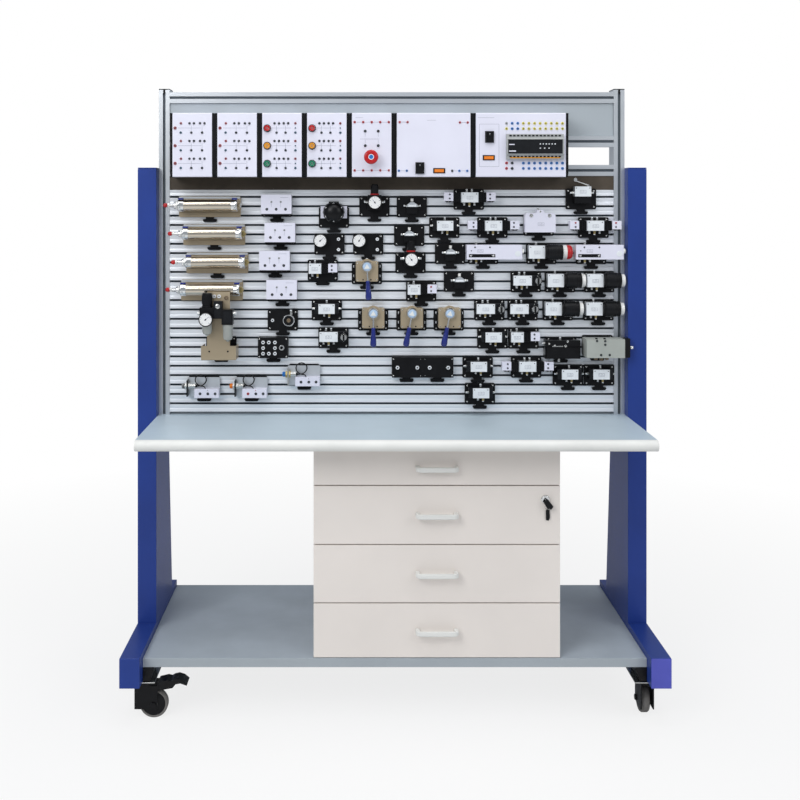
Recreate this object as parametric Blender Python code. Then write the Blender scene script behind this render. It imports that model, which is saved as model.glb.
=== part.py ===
"""Electro-pneumatic training bench: a wheeled table with drawers, a slotted panel of air parts
and a row of electric boxes. Metres, +Z up, floor at zero, front towards -Y."""

import math

import bmesh
import bpy
from mathutils import Matrix, Vector

# Clearance between pieces, overlap of joined shapes, and rounding
FIT = 0.0003
SINK = 0.0005
SMOOTH_ANGLE = math.radians(35)
ROUND_SIDES = 12
SMALL_SIDES = 6
FITTING_SIDES = 4

# Side frames: foot beams and columns
OVERALL_WIDTH = 1.500
COLUMN_WIDTH = 0.055
FOOT_LENGTH = 0.623
FOOT_HEIGHT = 0.0815
COLUMN_SETBACK = 0.252
COLUMN_HEIGHT = 1.342
COLUMN_FOOT_DEPTH = 0.280
COLUMN_TOP_DEPTH = 0.120

# Worktop and shelf
WORKTOP_HEIGHT = 0.805
WORKTOP_THICKNESS = 0.030
WORKTOP_OVERHANG = 0.077
NOSE_STEPS = 6
SHELF_SETBACK = 0.046
SHELF_DROP = 0.018
SHELF_THICKNESS = 0.0245

# Posts, rails and back sheets
POST_SETBACK = 0.040
POST_WIDTH = 0.032
POST_DEPTH = 0.060
POST_SEAT = 0.001
POST_CAP_HEIGHT = 0.010
GROOVE_WIDTH = 0.008
GROOVE_DEPTH = 0.009
RAIL_HEIGHT = 0.0325
RAIL_DEPTH = 0.032
STRIP_HEIGHT = 0.0425
RAIL_GAP = 0.054
SHEET_HEIGHT = 0.098
SHEET_THICKNESS = 0.002
SHEET_INSET = 0.008
STRIP_INSET = 0.004

# Slotted panel
SLOT_PITCH = 0.028
SLOT_WIDTH = 0.006
SLOT_COUNT = 24
PLANK_SLOTS = 4
LAST_SLOT_RISE = 0.0046
RIB_FLANGE = 0.0025
RIB_WEB = 0.008
PANEL_DEPTH = 0.018
TOP_RIB_HEIGHT = 0.0174

# Drawer cabinet
CABINET_WIDTH = 0.680
CABINET_OFFSET = 0.116
CABINET_DEPTH = 0.500
CABINET_SETBACK = 0.002
CARCASS_WALL = 0.015
FRONT_THICKNESS = 0.018
FRONT_GAP = 0.003
DRAWER_HEIGHT_SHARES = (0.200, 0.274, 0.271, 0.255)
TRAY_WALL = 0.010
TRAY_MARGIN = 0.020
TRAY_DEPTH = 0.440
RUNNER_THICKNESS = 0.0125
RUNNER_HEIGHT = 0.035
RUNNER_LENGTH = 0.420
HANDLE_WIDTH = 0.118
HANDLE_REACH = 0.030
HANDLE_BAR = 0.008
HANDLE_LEG = 0.012
HANDLE_HEIGHT = 0.014
HANDLE_RISE_SHARES = (0.41, 0.51, 0.51, 0.50)
LOCK_DRAWER = 2
LOCK_X_SHARE = 0.940
LOCK_RISE_SHARE = 0.767
LOCK_RADIUS = 0.0125
LOCK_REACH = 0.006
KEY_BOW_WIDTH = 0.020
KEY_BOW_HEIGHT = 0.024
KEY_THICKNESS = 0.003
KEY_SHANK = 0.006
KEY_TILT = math.radians(-35)

# Casters
WHEEL_RADIUS = 0.040
WHEEL_WIDTH = 0.025
WHEEL_CHAMFER = 0.004
WHEEL_SIDES = 20
AXLE_RADIUS = 0.004
AXLE_PLAY = 0.0005
CASTER_HEIGHT = 0.1162
CASTER_INSET_X = 0.047
CASTER_INSET_Y = 0.090
CASTER_TRAIL = 0.032
CASTER_PLATE_WIDTH = 0.085
CASTER_PLATE_DEPTH = 0.100
CASTER_PLATE_THICKNESS = 0.003
SWIVEL_RADIUS = 0.024
SWIVEL_HEIGHT = 0.014
FORK_WALL = 0.003
FORK_SIDE_PLAY = 0.003
FORK_BRIDGE = 0.004
FORK_BEHIND = 0.020
FORK_AHEAD = 0.044
FORK_LEG_DROP = 0.012
BOLT_HEAD = 0.004
BOLT_HEAD_RADIUS = 0.008
GUSSET_TOP = 0.032
GUSSET_FOOT = 0.020
GUSSET_DEPTH = 0.090
FRONT_LEFT_HEADING = 0
FRONT_RIGHT_HEADING = math.pi / 2

# Brake pedals, measured from the swivel axis and the wheel's centre height
PEDAL_PIVOT_AHEAD = 0.030
PEDAL_PIVOT_RISE = 0.047
PEDAL_LENGTH = 0.082
PEDAL_RISE = 0.030
PEDAL_WALL = 0.0025
PEDAL_LUG_HEIGHT = 0.014
PEDAL_OUTLINE_SHARES = (
    (0.00, 0.00), (0.22, 0.00), (0.50, 0.14), (0.60, 0.48), (0.76, 0.56), (0.98, 0.36),
    (1.00, 0.50), (0.85, 0.84), (0.67, 1.00), (0.52, 0.92), (0.42, 0.76), (0.29, 0.84), (0.00, 0.65),
)

# Electric boxes above the panel
MODULE_DEPTH = 0.099
MODULE_HEIGHT = 0.186
MODULE_DROP = 0.0065
MODULE_INSET = 0.017
MODULE_CAP = 0.006
SMALL_MODULE = 0.1298
SMALL_MODULES = 5
POWER_MODULE = 0.2286
CONTROL_MODULE = 0.2760
CONTROLLER_WIDTH = 0.165
CONTROLLER_HEIGHT = 0.097
CONTROLLER_REACH = 0.018
CONTROLLER_X_SHARE = 0.642
CONTROLLER_RISE_SHARE = 0.471
TERMINAL_HEIGHT = 0.016
TERMINAL_REACH = 0.009
BUTTON_RADIUS = 0.0090
BUTTON_BEZEL = 0.0022
BEZEL_REACH = 0.006
BUTTON_REACH = 0.0105
BUTTON_TRAVEL = 0.004
BUTTON_MODULES = (2, 3)
BUTTON_X_SHARE = 0.171
BUTTON_RISE_SHARES = (0.760, 0.488, 0.210)
BUTTON_COLOURS = ("red", "yellow", "green")
STOP_MODULE = 4
STOP_X_SHARE = 0.484
STOP_RISE_SHARE = 0.308
STOP_RADIUS = 0.0215
STOP_HEAD = 0.014
STOP_STEM = 0.0125
STOP_COLLAR_WALL = 0.003
STOP_COLLAR_REACH = 0.012
STOP_TRAVEL = 0.006
ROCKER_HEIGHT = 0.030
ROCKER_WIDTH = 0.022
ROCKER_REACH = 0.008
ROCKER_FRAME = 0.004
ROCKER_FRAME_REACH = 0.006
ROCKER_TILT = math.radians(9)
ROCKER_SHARES = {"power": (0.3255, 0.142), "control": (0.171, 0.626)}

# Clip-on plates; places are (share of the panel's width, slots below the first one)
PLATE_WIDTH = 0.090
PLATE_HEIGHT = 0.062
PLATE_THICKNESS = 0.008
CLIP_STEM_WIDTH = 0.024
CLIP_FOOT_WIDTH = 0.043
CLIP_STEM_HEIGHT = 0.006
CLIP_FOOT_HEIGHT = 0.009
CYLINDER_PLACE_SHARES = ((0.091, 2.15), (0.101, 5.12), (0.108, 8.12), (0.096, 11.00))
SOCKET_BOX_PLACE_SHARES = ((0.242, 2.13), (0.250, 5.10), (0.238, 8.05), (0.254, 11.11))
DOUBLE_PLACE_SHARES = ((0.673, 1.38), (0.726, 4.37), (0.953, 4.37), (0.802, 19.23))
SINGLE_PLACE_SHARES = ((0.345, 8.90), (0.566, 11.11), (0.796, 16.13))
PILOT_PLACE_SHARES = ((0.354, 13.14), (0.618, 4.37), (0.726, 16.13), (0.693, 19.23),
                      (0.896, 20.04), (0.966, 20.04), (0.698, 22.01))
SELECTOR_PLACE_SHARES = ((0.801, 10.15), (0.719, 13.14), (0.794, 13.14), (0.369, 16.08))
PUSH_PLACE_SHARES = ((0.878, 10.15), (0.966, 10.15), (0.873, 13.14), (0.964, 13.14))
MUSHROOM_PLACE_SHARES = (0.836, 7.15)
THROTTLE_PLACE_SHARES = ((0.545, 2.18), (0.539, 5.23), (0.631, 7.15), (0.651, 10.10))
ROLLER_PLACE_SHARES = (0.925, 1.33)
TIMER_PLACE_SHARES = ((0.705, 7.15), (0.948, 7.15))
SENSOR_BOX_PLACE_SHARES = (0.830, 4.14)
LEVER_PLACE_SHARES = ((0.444, 9.29), (0.458, 14.21), (0.544, 14.21), (0.628, 14.21))
GAUGE_PLACE_SHARES = ((0.360, 6.15), (0.447, 6.15))
REGULATOR_PLACE_SHARES = ((0.461, 2.13), (0.542, 8.12))
DOME_PLACE_SHARES = (0.370, 3.30)
RING_PLACE_SHARES = (0.255, 14.21)
MANIFOLD_PLACE_SHARES = (0.234, 17.05)
PORT_PLATE_PLACE_SHARES = (0.569, 19.17)
BLOCK_PLACE_SHARES = (0.880, 17.10)
COUNTER_PLACE_SHARES = (0.962, 16.90)
SENSOR_PLACE_SHARES = ((0.078, 21.22), (0.185, 21.22), (0.303, 19.98))

# Directional valves
VALVE_DEPTH = 0.028
VALVE_HEIGHT = 0.030
VALVE_LIFT = 0.006
LABEL_WIDTH = 0.048
LABEL_THICKNESS = 0.004
DOUBLE_BODY_WIDTH = 0.098
SINGLE_LABEL_WIDTH = 0.036
SINGLE_BODY_WIDTH = 0.058
CONNECTOR_WIDTH = 0.027
CONNECTOR_HEIGHT = 0.029
CONNECTOR_DEPTH = 0.024
PILOT_BODY_WIDTH = 0.070
PILOT_PORT = 0.006
FITTING_RADIUS = 0.0038
FITTING_LENGTH = 0.010
FITTING_PITCH = 0.015
SELECTOR_BODY_WIDTH = 0.084
SELECTOR_LABEL_WIDTH = 0.054
SELECTOR_LABEL_SHIFT = 0.014
SELECTOR_KNOB_RADIUS = 0.0115
SELECTOR_KNOB_REACH = 0.016
SELECTOR_RIDGE_SHARE = 1.6
PUSH_HEIGHT = 0.039
PUSH_SHIFT = 0.018
PUSH_BARREL_RADIUS = 0.0235
PUSH_BARREL_LENGTH = 0.051
PUSH_WALL = 0.0032
PUSH_RECESS = 0.012
PUSH_CAP_REACH = 0.0135
PUSH_TRAVEL = 0.006
MUSHROOM_RADIUS = 0.022
MUSHROOM_HEAD = 0.018
THROTTLE_WIDTH = 0.030
THROTTLE_HEIGHT = 0.014
THROTTLE_SCREW_RADIUS = 0.004
THROTTLE_SCREW_LENGTH = 0.012
THROTTLE_BODY_HEIGHT = 0.020
THROTTLE_BODY_DEPTH = 0.012
ROLLER_LEVER_LENGTH = 0.038
ROLLER_LEVER_RISE = 0.014
ROLLER_LEVER_THICKNESS = 0.002
ROLLER_LEVER_WIDTH = 0.010
ROLLER_RADIUS = 0.0055
ROLLER_PIVOT_SHIFT = 0.018
ROLLER_PIVOT_RISE = 0.003
ROLLER_EAR = 0.0025
TIMER_LENGTHS = (0.163, 0.140)
TIMER_HEIGHT = 0.043
TIMER_DEPTH = 0.036
TIMER_START = 0.052
TIMER_KNOB_RADIUS = 0.008
TIMER_KNOB_LENGTH = 0.006
SENSOR_BOX_HEIGHT = 0.066
SENSOR_BOX_DEPTH = 0.030
SENSOR_BOX_LIFT = 0.013

# Hand lever valves
LEVER_BODY_WIDTH = 0.066
LEVER_BODY_HEIGHT = 0.060
LEVER_BODY_DEPTH = 0.030
LEVER_BODY_LIFT = 0.009
LEVER_HUB_RADIUS = 0.016
LEVER_HUB_HEIGHT = 0.014
LEVER_HUB_LIFT = 0.0235
LEVER_ROD_RADIUS = 0.0030
LEVER_ROD_LENGTH = 0.042
GRIP_RADIUS = 0.0095
GRIP_NECK = 0.0065
GRIP_LENGTH = 0.057
LEVER_TILTS = (math.radians(-3), 0, math.radians(11), math.radians(11))

# Cylinders
CYLINDER_PLATE_WIDTH = 0.184
CYLINDER_AXIS_REACH = 0.051
CYLINDER_AXIS_LIFT = 0.004
BARREL_RADIUS = 0.0165
BARREL_WALL = 0.0020
BARREL_LENGTH = 0.150
END_CAP_RADIUS = 0.0185
END_CAP_LENGTH = 0.012
NOSE_RADIUS = 0.011
NOSE_LENGTH = 0.012
ROD_RADIUS = 0.0045
ROD_PLAY = 0.0005
ROD_REST_REACH = 0.010
ROD_TIP_RADIUS = 0.0070
ROD_TIP_LENGTH = 0.022
PISTON_LENGTH = 0.012
STROKE = 0.100
SADDLE_WIDTH = 0.016
SADDLE_HEIGHT = 0.030

# Gauges and regulators
GAUGE_RADIUS = 0.0205
GAUGE_DEPTH = 0.020
GAUGE_SIDES = 16
GAUGE_X_SHARE = 0.20
GAUGE_RISE_SHARE = 0.68
PORT_RADIUS = 0.0060
PORT_REACH = 0.010
REGULATOR_WIDTH = 0.040
REGULATOR_HEIGHT = 0.044
REGULATOR_DEPTH = 0.040
REGULATOR_LIFT = 0.012
REGULATOR_STEM_REACH = 0.026
REGULATOR_RING_RADIUS = 0.0135
REGULATOR_RING_HEIGHT = 0.004
REGULATOR_KNOB_RADIUS = 0.0115
REGULATOR_KNOB_HEIGHT = 0.028
DOME_RADIUS = 0.0320
DOME_LENGTH = 0.040
DOME_BODY_WIDTH = 0.078
DOME_BODY_HEIGHT = 0.036
DOME_BODY_DEPTH = 0.022
DOME_LIFT = 0.016
DOME_NECK_WIDTH = 0.030
DOME_NECK_HEIGHT = 0.014

# Filter, regulator and lubricator set
UNIT_PLATE_WIDTH = 0.067
UNIT_PLATE_THICKNESS = 0.003
UNIT_PLATE_REACH = 0.075
UNIT_TOP_RISE = 0.200
UNIT_FOOT_WIDTH = 0.102
UNIT_FOOT_HEIGHT = 0.042
UNIT_PLACE_SHARES = (0.117, 17.04)
UNIT_BODY_DEPTH = 0.032
FILTER_WIDTH = 0.040
FILTER_HEIGHT = 0.036
FILTER_TOP_DROP = 0.040
FILTER_SHIFT = 0.031
FILTER_KNOB_RADIUS = 0.0155
FILTER_KNOB_HEIGHT = 0.038
LINK_WIDTH = 0.024
LINK_HEIGHT = 0.060
LUBRICATOR_WIDTH = 0.032
LUBRICATOR_HEIGHT = 0.044
BOWL_RADIUS = 0.0155
BOWL_HEIGHT = 0.050

# Distribution pieces
SOCKET_BOX_HEIGHT = 0.060
SOCKET_BOX_DEPTH = 0.034
SOCKET_BOX_LIFT = 0.005
RING_RADIUS = 0.018
RING_REACH = 0.014
PORT_PLATE_WIDTH = 0.183
PORT_PLATE_DEPTH = 0.012
PORT_SHARES = (0.09, 0.41, 0.61, 0.91)
PORT_PLATE_CLIP_SHARES = (-0.26, 0.24)
MANIFOLD_DEPTH = 0.022
MANIFOLD_PORT_SHARES = (0.20, 0.50, 0.80)
BLOCK_WIDTH = 0.104
BLOCK_HEIGHT = 0.060
BLOCK_DEPTH = 0.040
COUNTER_WIDTH = 0.112
COUNTER_HEIGHT = 0.058
COUNTER_DEPTH = 0.062
COUNTER_CAP = 0.015
COUNTER_NUB_RADIUS = 0.006
COUNTER_NUB_LENGTH = 0.012

# Sensors on brackets
SENSOR_PLATE_WIDTH = 0.096
SENSOR_PLATE_HEIGHT = 0.058
SENSOR_PLATE_THICKNESS = 0.004
SENSOR_FACE_WIDTH = 0.073
SENSOR_FACE_HEIGHT = 0.027
SENSOR_FACE_DEPTH = 0.022
SENSOR_EAR = 0.006
SENSOR_RADIUS = 0.008
SENSOR_LENGTH = 0.046
CABLE_RADIUS = 0.0017
CABLE_LOOP_WIDTH = 0.020
CABLE_LOOP_HEIGHT = 0.017
CABLE_STEPS = 16
CABLE_SIDES = 5

# Levels and faces that the pieces share
HALF_WIDTH = OVERALL_WIDTH / 2
INNER_X = HALF_WIDTH - COLUMN_WIDTH
FRONT_Y = -(FOOT_LENGTH + WORKTOP_OVERHANG) / 2
FOOT_FRONT_Y = FRONT_Y + WORKTOP_OVERHANG
FOOT_REAR_Y = FOOT_FRONT_Y + FOOT_LENGTH
COLUMN_FRONT_Y = FOOT_FRONT_Y + COLUMN_SETBACK
PANEL_Y = COLUMN_FRONT_Y + POST_SETBACK
MODULE_Y = PANEL_Y - MODULE_DEPTH
SHELF_FRONT_Y = FOOT_FRONT_Y + SHELF_SETBACK
CABINET_Y = SHELF_FRONT_Y + CABINET_SETBACK
FOOT_Z = CASTER_HEIGHT
FOOT_TOP_Z = FOOT_Z + FOOT_HEIGHT
SHELF_Z = FOOT_TOP_Z - SHELF_DROP
WORKTOP_Z = WORKTOP_HEIGHT - WORKTOP_THICKNESS
PANEL_HALF = INNER_X - POST_WIDTH - 2 * FIT
PANEL_WIDTH = 2 * PANEL_HALF
FIRST_SLOT_Z = WORKTOP_HEIGHT + LAST_SLOT_RISE + (SLOT_COUNT - 1) * SLOT_PITCH
LOWER_RAIL_Z = FIRST_SLOT_Z + SLOT_WIDTH / 2 + TOP_RIB_HEIGHT + STRIP_HEIGHT
MIDDLE_RAIL_Z = LOWER_RAIL_Z + RAIL_HEIGHT + RAIL_GAP
UPPER_RAIL_Z = MIDDLE_RAIL_Z + RAIL_HEIGHT + SHEET_HEIGHT
POST_TOP_Z = UPPER_RAIL_Z + RAIL_HEIGHT
MODULE_Z = LOWER_RAIL_Z - MODULE_DROP
MODULE_SEAT_Y = MODULE_Y + SINK
PLATE_Y = PANEL_Y - FIT - PLATE_THICKNESS
MOUNT_Y = PLATE_Y + SINK
WHEEL_Z = WHEEL_RADIUS * math.cos(math.pi / WHEEL_SIDES)
CASTER_X = HALF_WIDTH - CASTER_INSET_X
CASTER_TOP_Z = CASTER_HEIGHT - CASTER_PLATE_THICKNESS - FIT
FRONT_CASTER_Y = FOOT_FRONT_Y + CASTER_INSET_Y
REAR_CASTER_Y = FOOT_REAR_Y - CASTER_INSET_Y
SIDES = ((-1, "left"), (1, "right"))


def clear_scene():
    """Start from an empty scene."""
    for old in list(bpy.data.objects):
        bpy.data.objects.remove(old, do_unlink=True)


def spread(axis, pair, along):
    """Place a flat point at a distance along an axis."""
    first, second = pair
    if axis == "X":
        return (along, first, second)
    if axis == "Y":
        return (first, along, second)
    return (first, second, along)


def circle(centre, radius, sides):
    """Corner points of a round outline with a flat side at the bottom."""
    turn = 2 * math.pi / sides
    return [(centre[0] + radius * math.cos((i + 0.5) * turn - math.pi / 2),
             centre[1] + radius * math.sin((i + 0.5) * turn - math.pi / 2)) for i in range(sides)]


def around(centre, size):
    """Low and high ends of a size about its centre."""
    return (centre - size / 2, centre + size / 2)


class Solids:
    """Closed shapes that overlap a little and join into one body: the first, and the rest."""

    def __init__(self, place=None):
        self.first = bmesh.new()
        self.rest = bmesh.new()
        self.place = place or Matrix.Identity(4)

    def add(self, points, faces):
        mesh = self.rest if self.first.verts else self.first
        corners = [mesh.verts.new(self.place @ Vector(point)) for point in points]
        for face in faces:
            mesh.faces.new([corners[i] for i in face])

    def prism(self, axis, outline, ends):
        """A closed outline carried along an axis between two ends."""
        count = len(outline)
        points = [spread(axis, point, end) for end in ends for point in outline]
        faces = [list(range(count)), list(range(count, 2 * count))]
        faces += [(i, (i + 1) % count, count + (i + 1) % count, count + i) for i in range(count)]
        self.add(points, faces)

    def box(self, x_ends, y_ends, z_ends):
        outline = [(x, y) for x, y in zip((x_ends[0], x_ends[1], x_ends[1], x_ends[0]),
                                          (y_ends[0], y_ends[0], y_ends[1], y_ends[1]))]
        self.prism("Z", outline, z_ends)

    def disc(self, axis, centre, radius, ends, sides=ROUND_SIDES):
        self.prism(axis, circle(centre, radius, sides), ends)

    def turned(self, axis, centre, profile, sides=ROUND_SIDES):
        """A profile of (radius, place along the axis) turned about the axis; one that
        starts and ends on the axis is closed there, any other is closed on itself."""
        points, rings = [], []
        for radius, along in profile:
            flat = [tuple(centre)] if radius == 0 else circle(centre, radius, sides)
            rings.append(list(range(len(points), len(points) + len(flat))))
            points += [spread(axis, point, along) for point in flat]
        faces = []
        follow = rings[1:] if profile[0][0] == 0 else rings[1:] + rings[:1]
        for ring, after in zip(rings, follow):
            for i in range(sides):
                j = (i + 1) % sides
                corners = [ring[i % len(ring)], ring[j % len(ring)], after[j % len(after)], after[i % len(after)]]
                faces.append(list(dict.fromkeys(corners)))
        self.add(points, faces)

    def tube(self, path, radius, sides):
        """A round tube with closed ends along a list of points."""
        points, rings = [], []
        for i, point in enumerate(path):
            ahead = path[min(i + 1, len(path) - 1)] - path[max(i - 1, 0)]
            side = ahead.cross(Vector((0, 1, 0))).normalized()
            lift = side.cross(ahead).normalized()
            rings.append(list(range(len(points), len(points) + sides)))
            for k in range(sides):
                angle = 2 * math.pi * k / sides
                points.append(point + radius * (math.cos(angle) * side + math.sin(angle) * lift))
        faces = [rings[0], rings[-1]]
        for ring, after in zip(rings, rings[1:]):
            faces += [(ring[k], ring[(k + 1) % sides], after[(k + 1) % sides], after[k]) for k in range(sides)]
        self.add(points, faces)


def finished_mesh(name, shapes, pivot):
    """Write gathered shapes to a mesh, measured from the pivot."""
    bmesh.ops.recalc_face_normals(shapes, faces=shapes.faces[:])
    bmesh.ops.translate(shapes, verts=shapes.verts[:], vec=-Vector(pivot))
    mesh = bpy.data.meshes.new(name)
    shapes.to_mesh(mesh)
    shapes.free()
    return mesh


def make_object(name, solids, colour, roughness, metallic=0.0, pivot=(0, 0, 0)):
    """Turn gathered shapes into one named body with its origin on the pivot."""
    joined = bool(solids.rest.verts)
    mesh = finished_mesh(name, solids.first, pivot)
    rest_mesh = finished_mesh(name + "_rest", solids.rest, pivot)
    mesh.shade_smooth()
    mesh.set_sharp_from_angle(angle=SMOOTH_ANGLE)
    finish = bpy.data.materials.new(name + "_finish")
    finish.use_nodes = True
    shader = finish.node_tree.nodes["Principled BSDF"]
    shader.inputs["Base Color"].default_value = (*colour, 1)
    shader.inputs["Roughness"].default_value = roughness
    shader.inputs["Metallic"].default_value = metallic
    mesh.materials.append(finish)
    obj = bpy.data.objects.new(name, mesh)
    obj.location = pivot
    bpy.context.scene.collection.objects.link(obj)
    if joined:
        join_rest(obj, rest_mesh)
    return obj


def join_rest(obj, rest_mesh):
    """Union the first shape with the rest, which overlap each other too."""
    rest = bpy.data.objects.new(obj.name + "_rest", rest_mesh)
    rest.location = obj.location
    rest.hide_render = True
    rest.display_type = "WIRE"
    bpy.context.scene.collection.objects.link(rest)
    join = obj.modifiers.new("join", "BOOLEAN")
    join.operation = "UNION"
    join.solver = "EXACT"
    join.use_self = True
    join.object = rest


BLUE = (0.010, 0.030, 0.260)
GREY_BLUE = (0.380, 0.450, 0.520)
WARM_WHITE = (0.780, 0.740, 0.690)
ALUMINIUM = (0.720, 0.750, 0.780)
PALE = (0.750, 0.780, 0.820)
BLACK = (0.015, 0.015, 0.018)
STEEL = (0.600, 0.600, 0.580)
RED = (0.600, 0.020, 0.020)
YELLOW = (0.700, 0.330, 0.020)
GREEN = (0.020, 0.280, 0.170)
DARK_BLUE = (0.010, 0.012, 0.100)
BUTTON_PAINT = {"red": RED, "yellow": YELLOW, "green": GREEN}


def side_frames():
    """A column, upright in front and slanting behind, welded to a foot beam with caster plates."""
    low, high = FOOT_TOP_Z - SINK, FOOT_TOP_Z + COLUMN_HEIGHT
    outline = [(COLUMN_FRONT_Y, low), (COLUMN_FRONT_Y + COLUMN_FOOT_DEPTH, low),
               (COLUMN_FRONT_Y + COLUMN_TOP_DEPTH, high), (COLUMN_FRONT_Y, high)]
    edge, shelf_under = INNER_X + SINK, SHELF_Z - SHELF_THICKNESS - FIT
    gusset = [(edge, FOOT_Z), (edge, shelf_under), (edge - GUSSET_TOP, shelf_under), (edge - GUSSET_FOOT, FOOT_Z)]
    for side, side_name in SIDES:
        frame = Solids()
        frame.box((side * INNER_X, side * HALF_WIDTH), (FOOT_FRONT_Y, FOOT_REAR_Y), (FOOT_Z, FOOT_TOP_Z))
        frame.prism("X", outline, (side * INNER_X, side * HALF_WIDTH))
        for y in (FRONT_CASTER_Y, REAR_CASTER_Y):
            frame.box(around(side * CASTER_X, CASTER_PLATE_WIDTH), around(y, CASTER_PLATE_DEPTH),
                      (CASTER_HEIGHT - CASTER_PLATE_THICKNESS, CASTER_HEIGHT + SINK))
            frame.prism("Y", [(side * across, height) for across, height in gusset], around(y, GUSSET_DEPTH))
        make_object(f"side_frame_{side_name}", frame, BLUE, 0.35)


def worktop_and_shelf():
    """The worktop has a half-round nose and two seats for the posts; both boards fit between the side frames."""
    half = WORKTOP_THICKNESS / 2
    nose = []
    for step in range(NOSE_STEPS + 1):
        angle = math.pi / 2 + math.pi * step / NOSE_STEPS
        nose.append((FRONT_Y + half + half * math.cos(angle), WORKTOP_Z + half + half * math.sin(angle)))
    width, seat = around(0, 2 * (INNER_X - FIT)), PANEL_Y - FIT
    rear = (seat - SINK, PANEL_Y + POST_DEPTH)
    top = Solids()
    top.prism("X", nose + [(seat, WORKTOP_Z), (seat, WORKTOP_HEIGHT)], width)
    top.box(width, rear, (WORKTOP_Z, WORKTOP_HEIGHT - POST_SEAT))
    top.box(around(0, 2 * PANEL_HALF), rear, (WORKTOP_Z, WORKTOP_HEIGHT))
    make_object("worktop", top, GREY_BLUE, 0.45)
    shelf = Solids()
    shelf.box(around(0, 2 * (INNER_X - FIT)), (SHELF_FRONT_Y, FOOT_REAR_Y), (SHELF_Z - SHELF_THICKNESS, SHELF_Z))
    make_object("base_shelf", shelf, GREY_BLUE, 0.5)


def grooved(face, depth, middle, width):
    """Outline of a profile bar with a groove in its front face, as (depth, width) points."""
    low, high = around(middle, width)
    groove_low, groove_high = around(middle, GROOVE_WIDTH)
    return [(face, low), (face + depth, low), (face + depth, high), (face, high), (face, groove_high),
            (face + GROOVE_DEPTH, groove_high), (face + GROOVE_DEPTH, groove_low), (face, groove_low)]


def panel_frame():
    """Posts with end caps, and three rails with the sheets between them."""
    frame = Solids()
    for side, _ in SIDES:
        middle = side * (INNER_X - FIT - POST_WIDTH / 2)
        outline = [(x, y) for y, x in grooved(PANEL_Y, POST_DEPTH, middle, POST_WIDTH)]
        frame.prism("Z", outline, (WORKTOP_HEIGHT - POST_SEAT + FIT, POST_TOP_Z))
        frame.box(around(middle, POST_WIDTH), (PANEL_Y, PANEL_Y + POST_DEPTH),
                  (POST_TOP_Z - SINK, POST_TOP_Z + POST_CAP_HEIGHT))
    span = around(0, 2 * (INNER_X - FIT - POST_WIDTH + SINK))
    for low in (UPPER_RAIL_Z, MIDDLE_RAIL_Z, LOWER_RAIL_Z):
        frame.prism("X", grooved(PANEL_Y, RAIL_DEPTH, low + RAIL_HEIGHT / 2, RAIL_HEIGHT), span)
    sheet = (PANEL_Y + SHEET_INSET, PANEL_Y + SHEET_INSET + SHEET_THICKNESS)
    frame.box(span, sheet, (MIDDLE_RAIL_Z + RAIL_HEIGHT - SINK, UPPER_RAIL_Z + SINK))
    strip = (PANEL_Y + STRIP_INSET, PANEL_Y + STRIP_INSET + SHEET_THICKNESS)
    frame.box(span, strip, (rib_ends(0)[1] + FIT, LOWER_RAIL_Z + SINK))
    make_object("panel_frame", frame, ALUMINIUM, 0.3, 0.8)


def rib_ends(index):
    """Bottom and top of a rib of the slotted panel, from the top one down."""
    low = FIRST_SLOT_Z + SLOT_WIDTH / 2 - index * SLOT_PITCH
    return low, low + (SLOT_PITCH - SLOT_WIDTH if index else TOP_RIB_HEIGHT)


def panel_planks():
    """The slotted panel: planks of a few ribs each, every rib a T on its plank's back sheet."""
    span, web_y, back_y = (-PANEL_HALF, PANEL_HALF), PANEL_Y + RIB_FLANGE, PANEL_Y + PANEL_DEPTH
    planks = []
    for first in range(0, SLOT_COUNT, PLANK_SLOTS):
        plank = Solids()
        plank.box(span, (back_y - SINK, back_y + SHEET_THICKNESS),
                  (rib_ends(first + PLANK_SLOTS)[1] + FIT, rib_ends(first)[1]))
        for index in range(first, first + PLANK_SLOTS):
            low, high = rib_ends(index)
            web_low, web_high = around((low + high) / 2, RIB_WEB)
            plank.prism("X", [(PANEL_Y, low), (web_y, low), (web_y, web_low), (back_y, web_low),
                              (back_y, web_high), (web_y, web_high), (web_y, high), (PANEL_Y, high)], span)
        planks.append(plank)
    return planks


def drawer_levels():
    """Bottom and top of each drawer front, from the top drawer down."""
    top, total = WORKTOP_Z - FIT, WORKTOP_Z - SHELF_Z - 2 * FIT
    levels = []
    for share in DRAWER_HEIGHT_SHARES:
        levels.append((top - share * total, top))
        top -= share * total
    return levels


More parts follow.
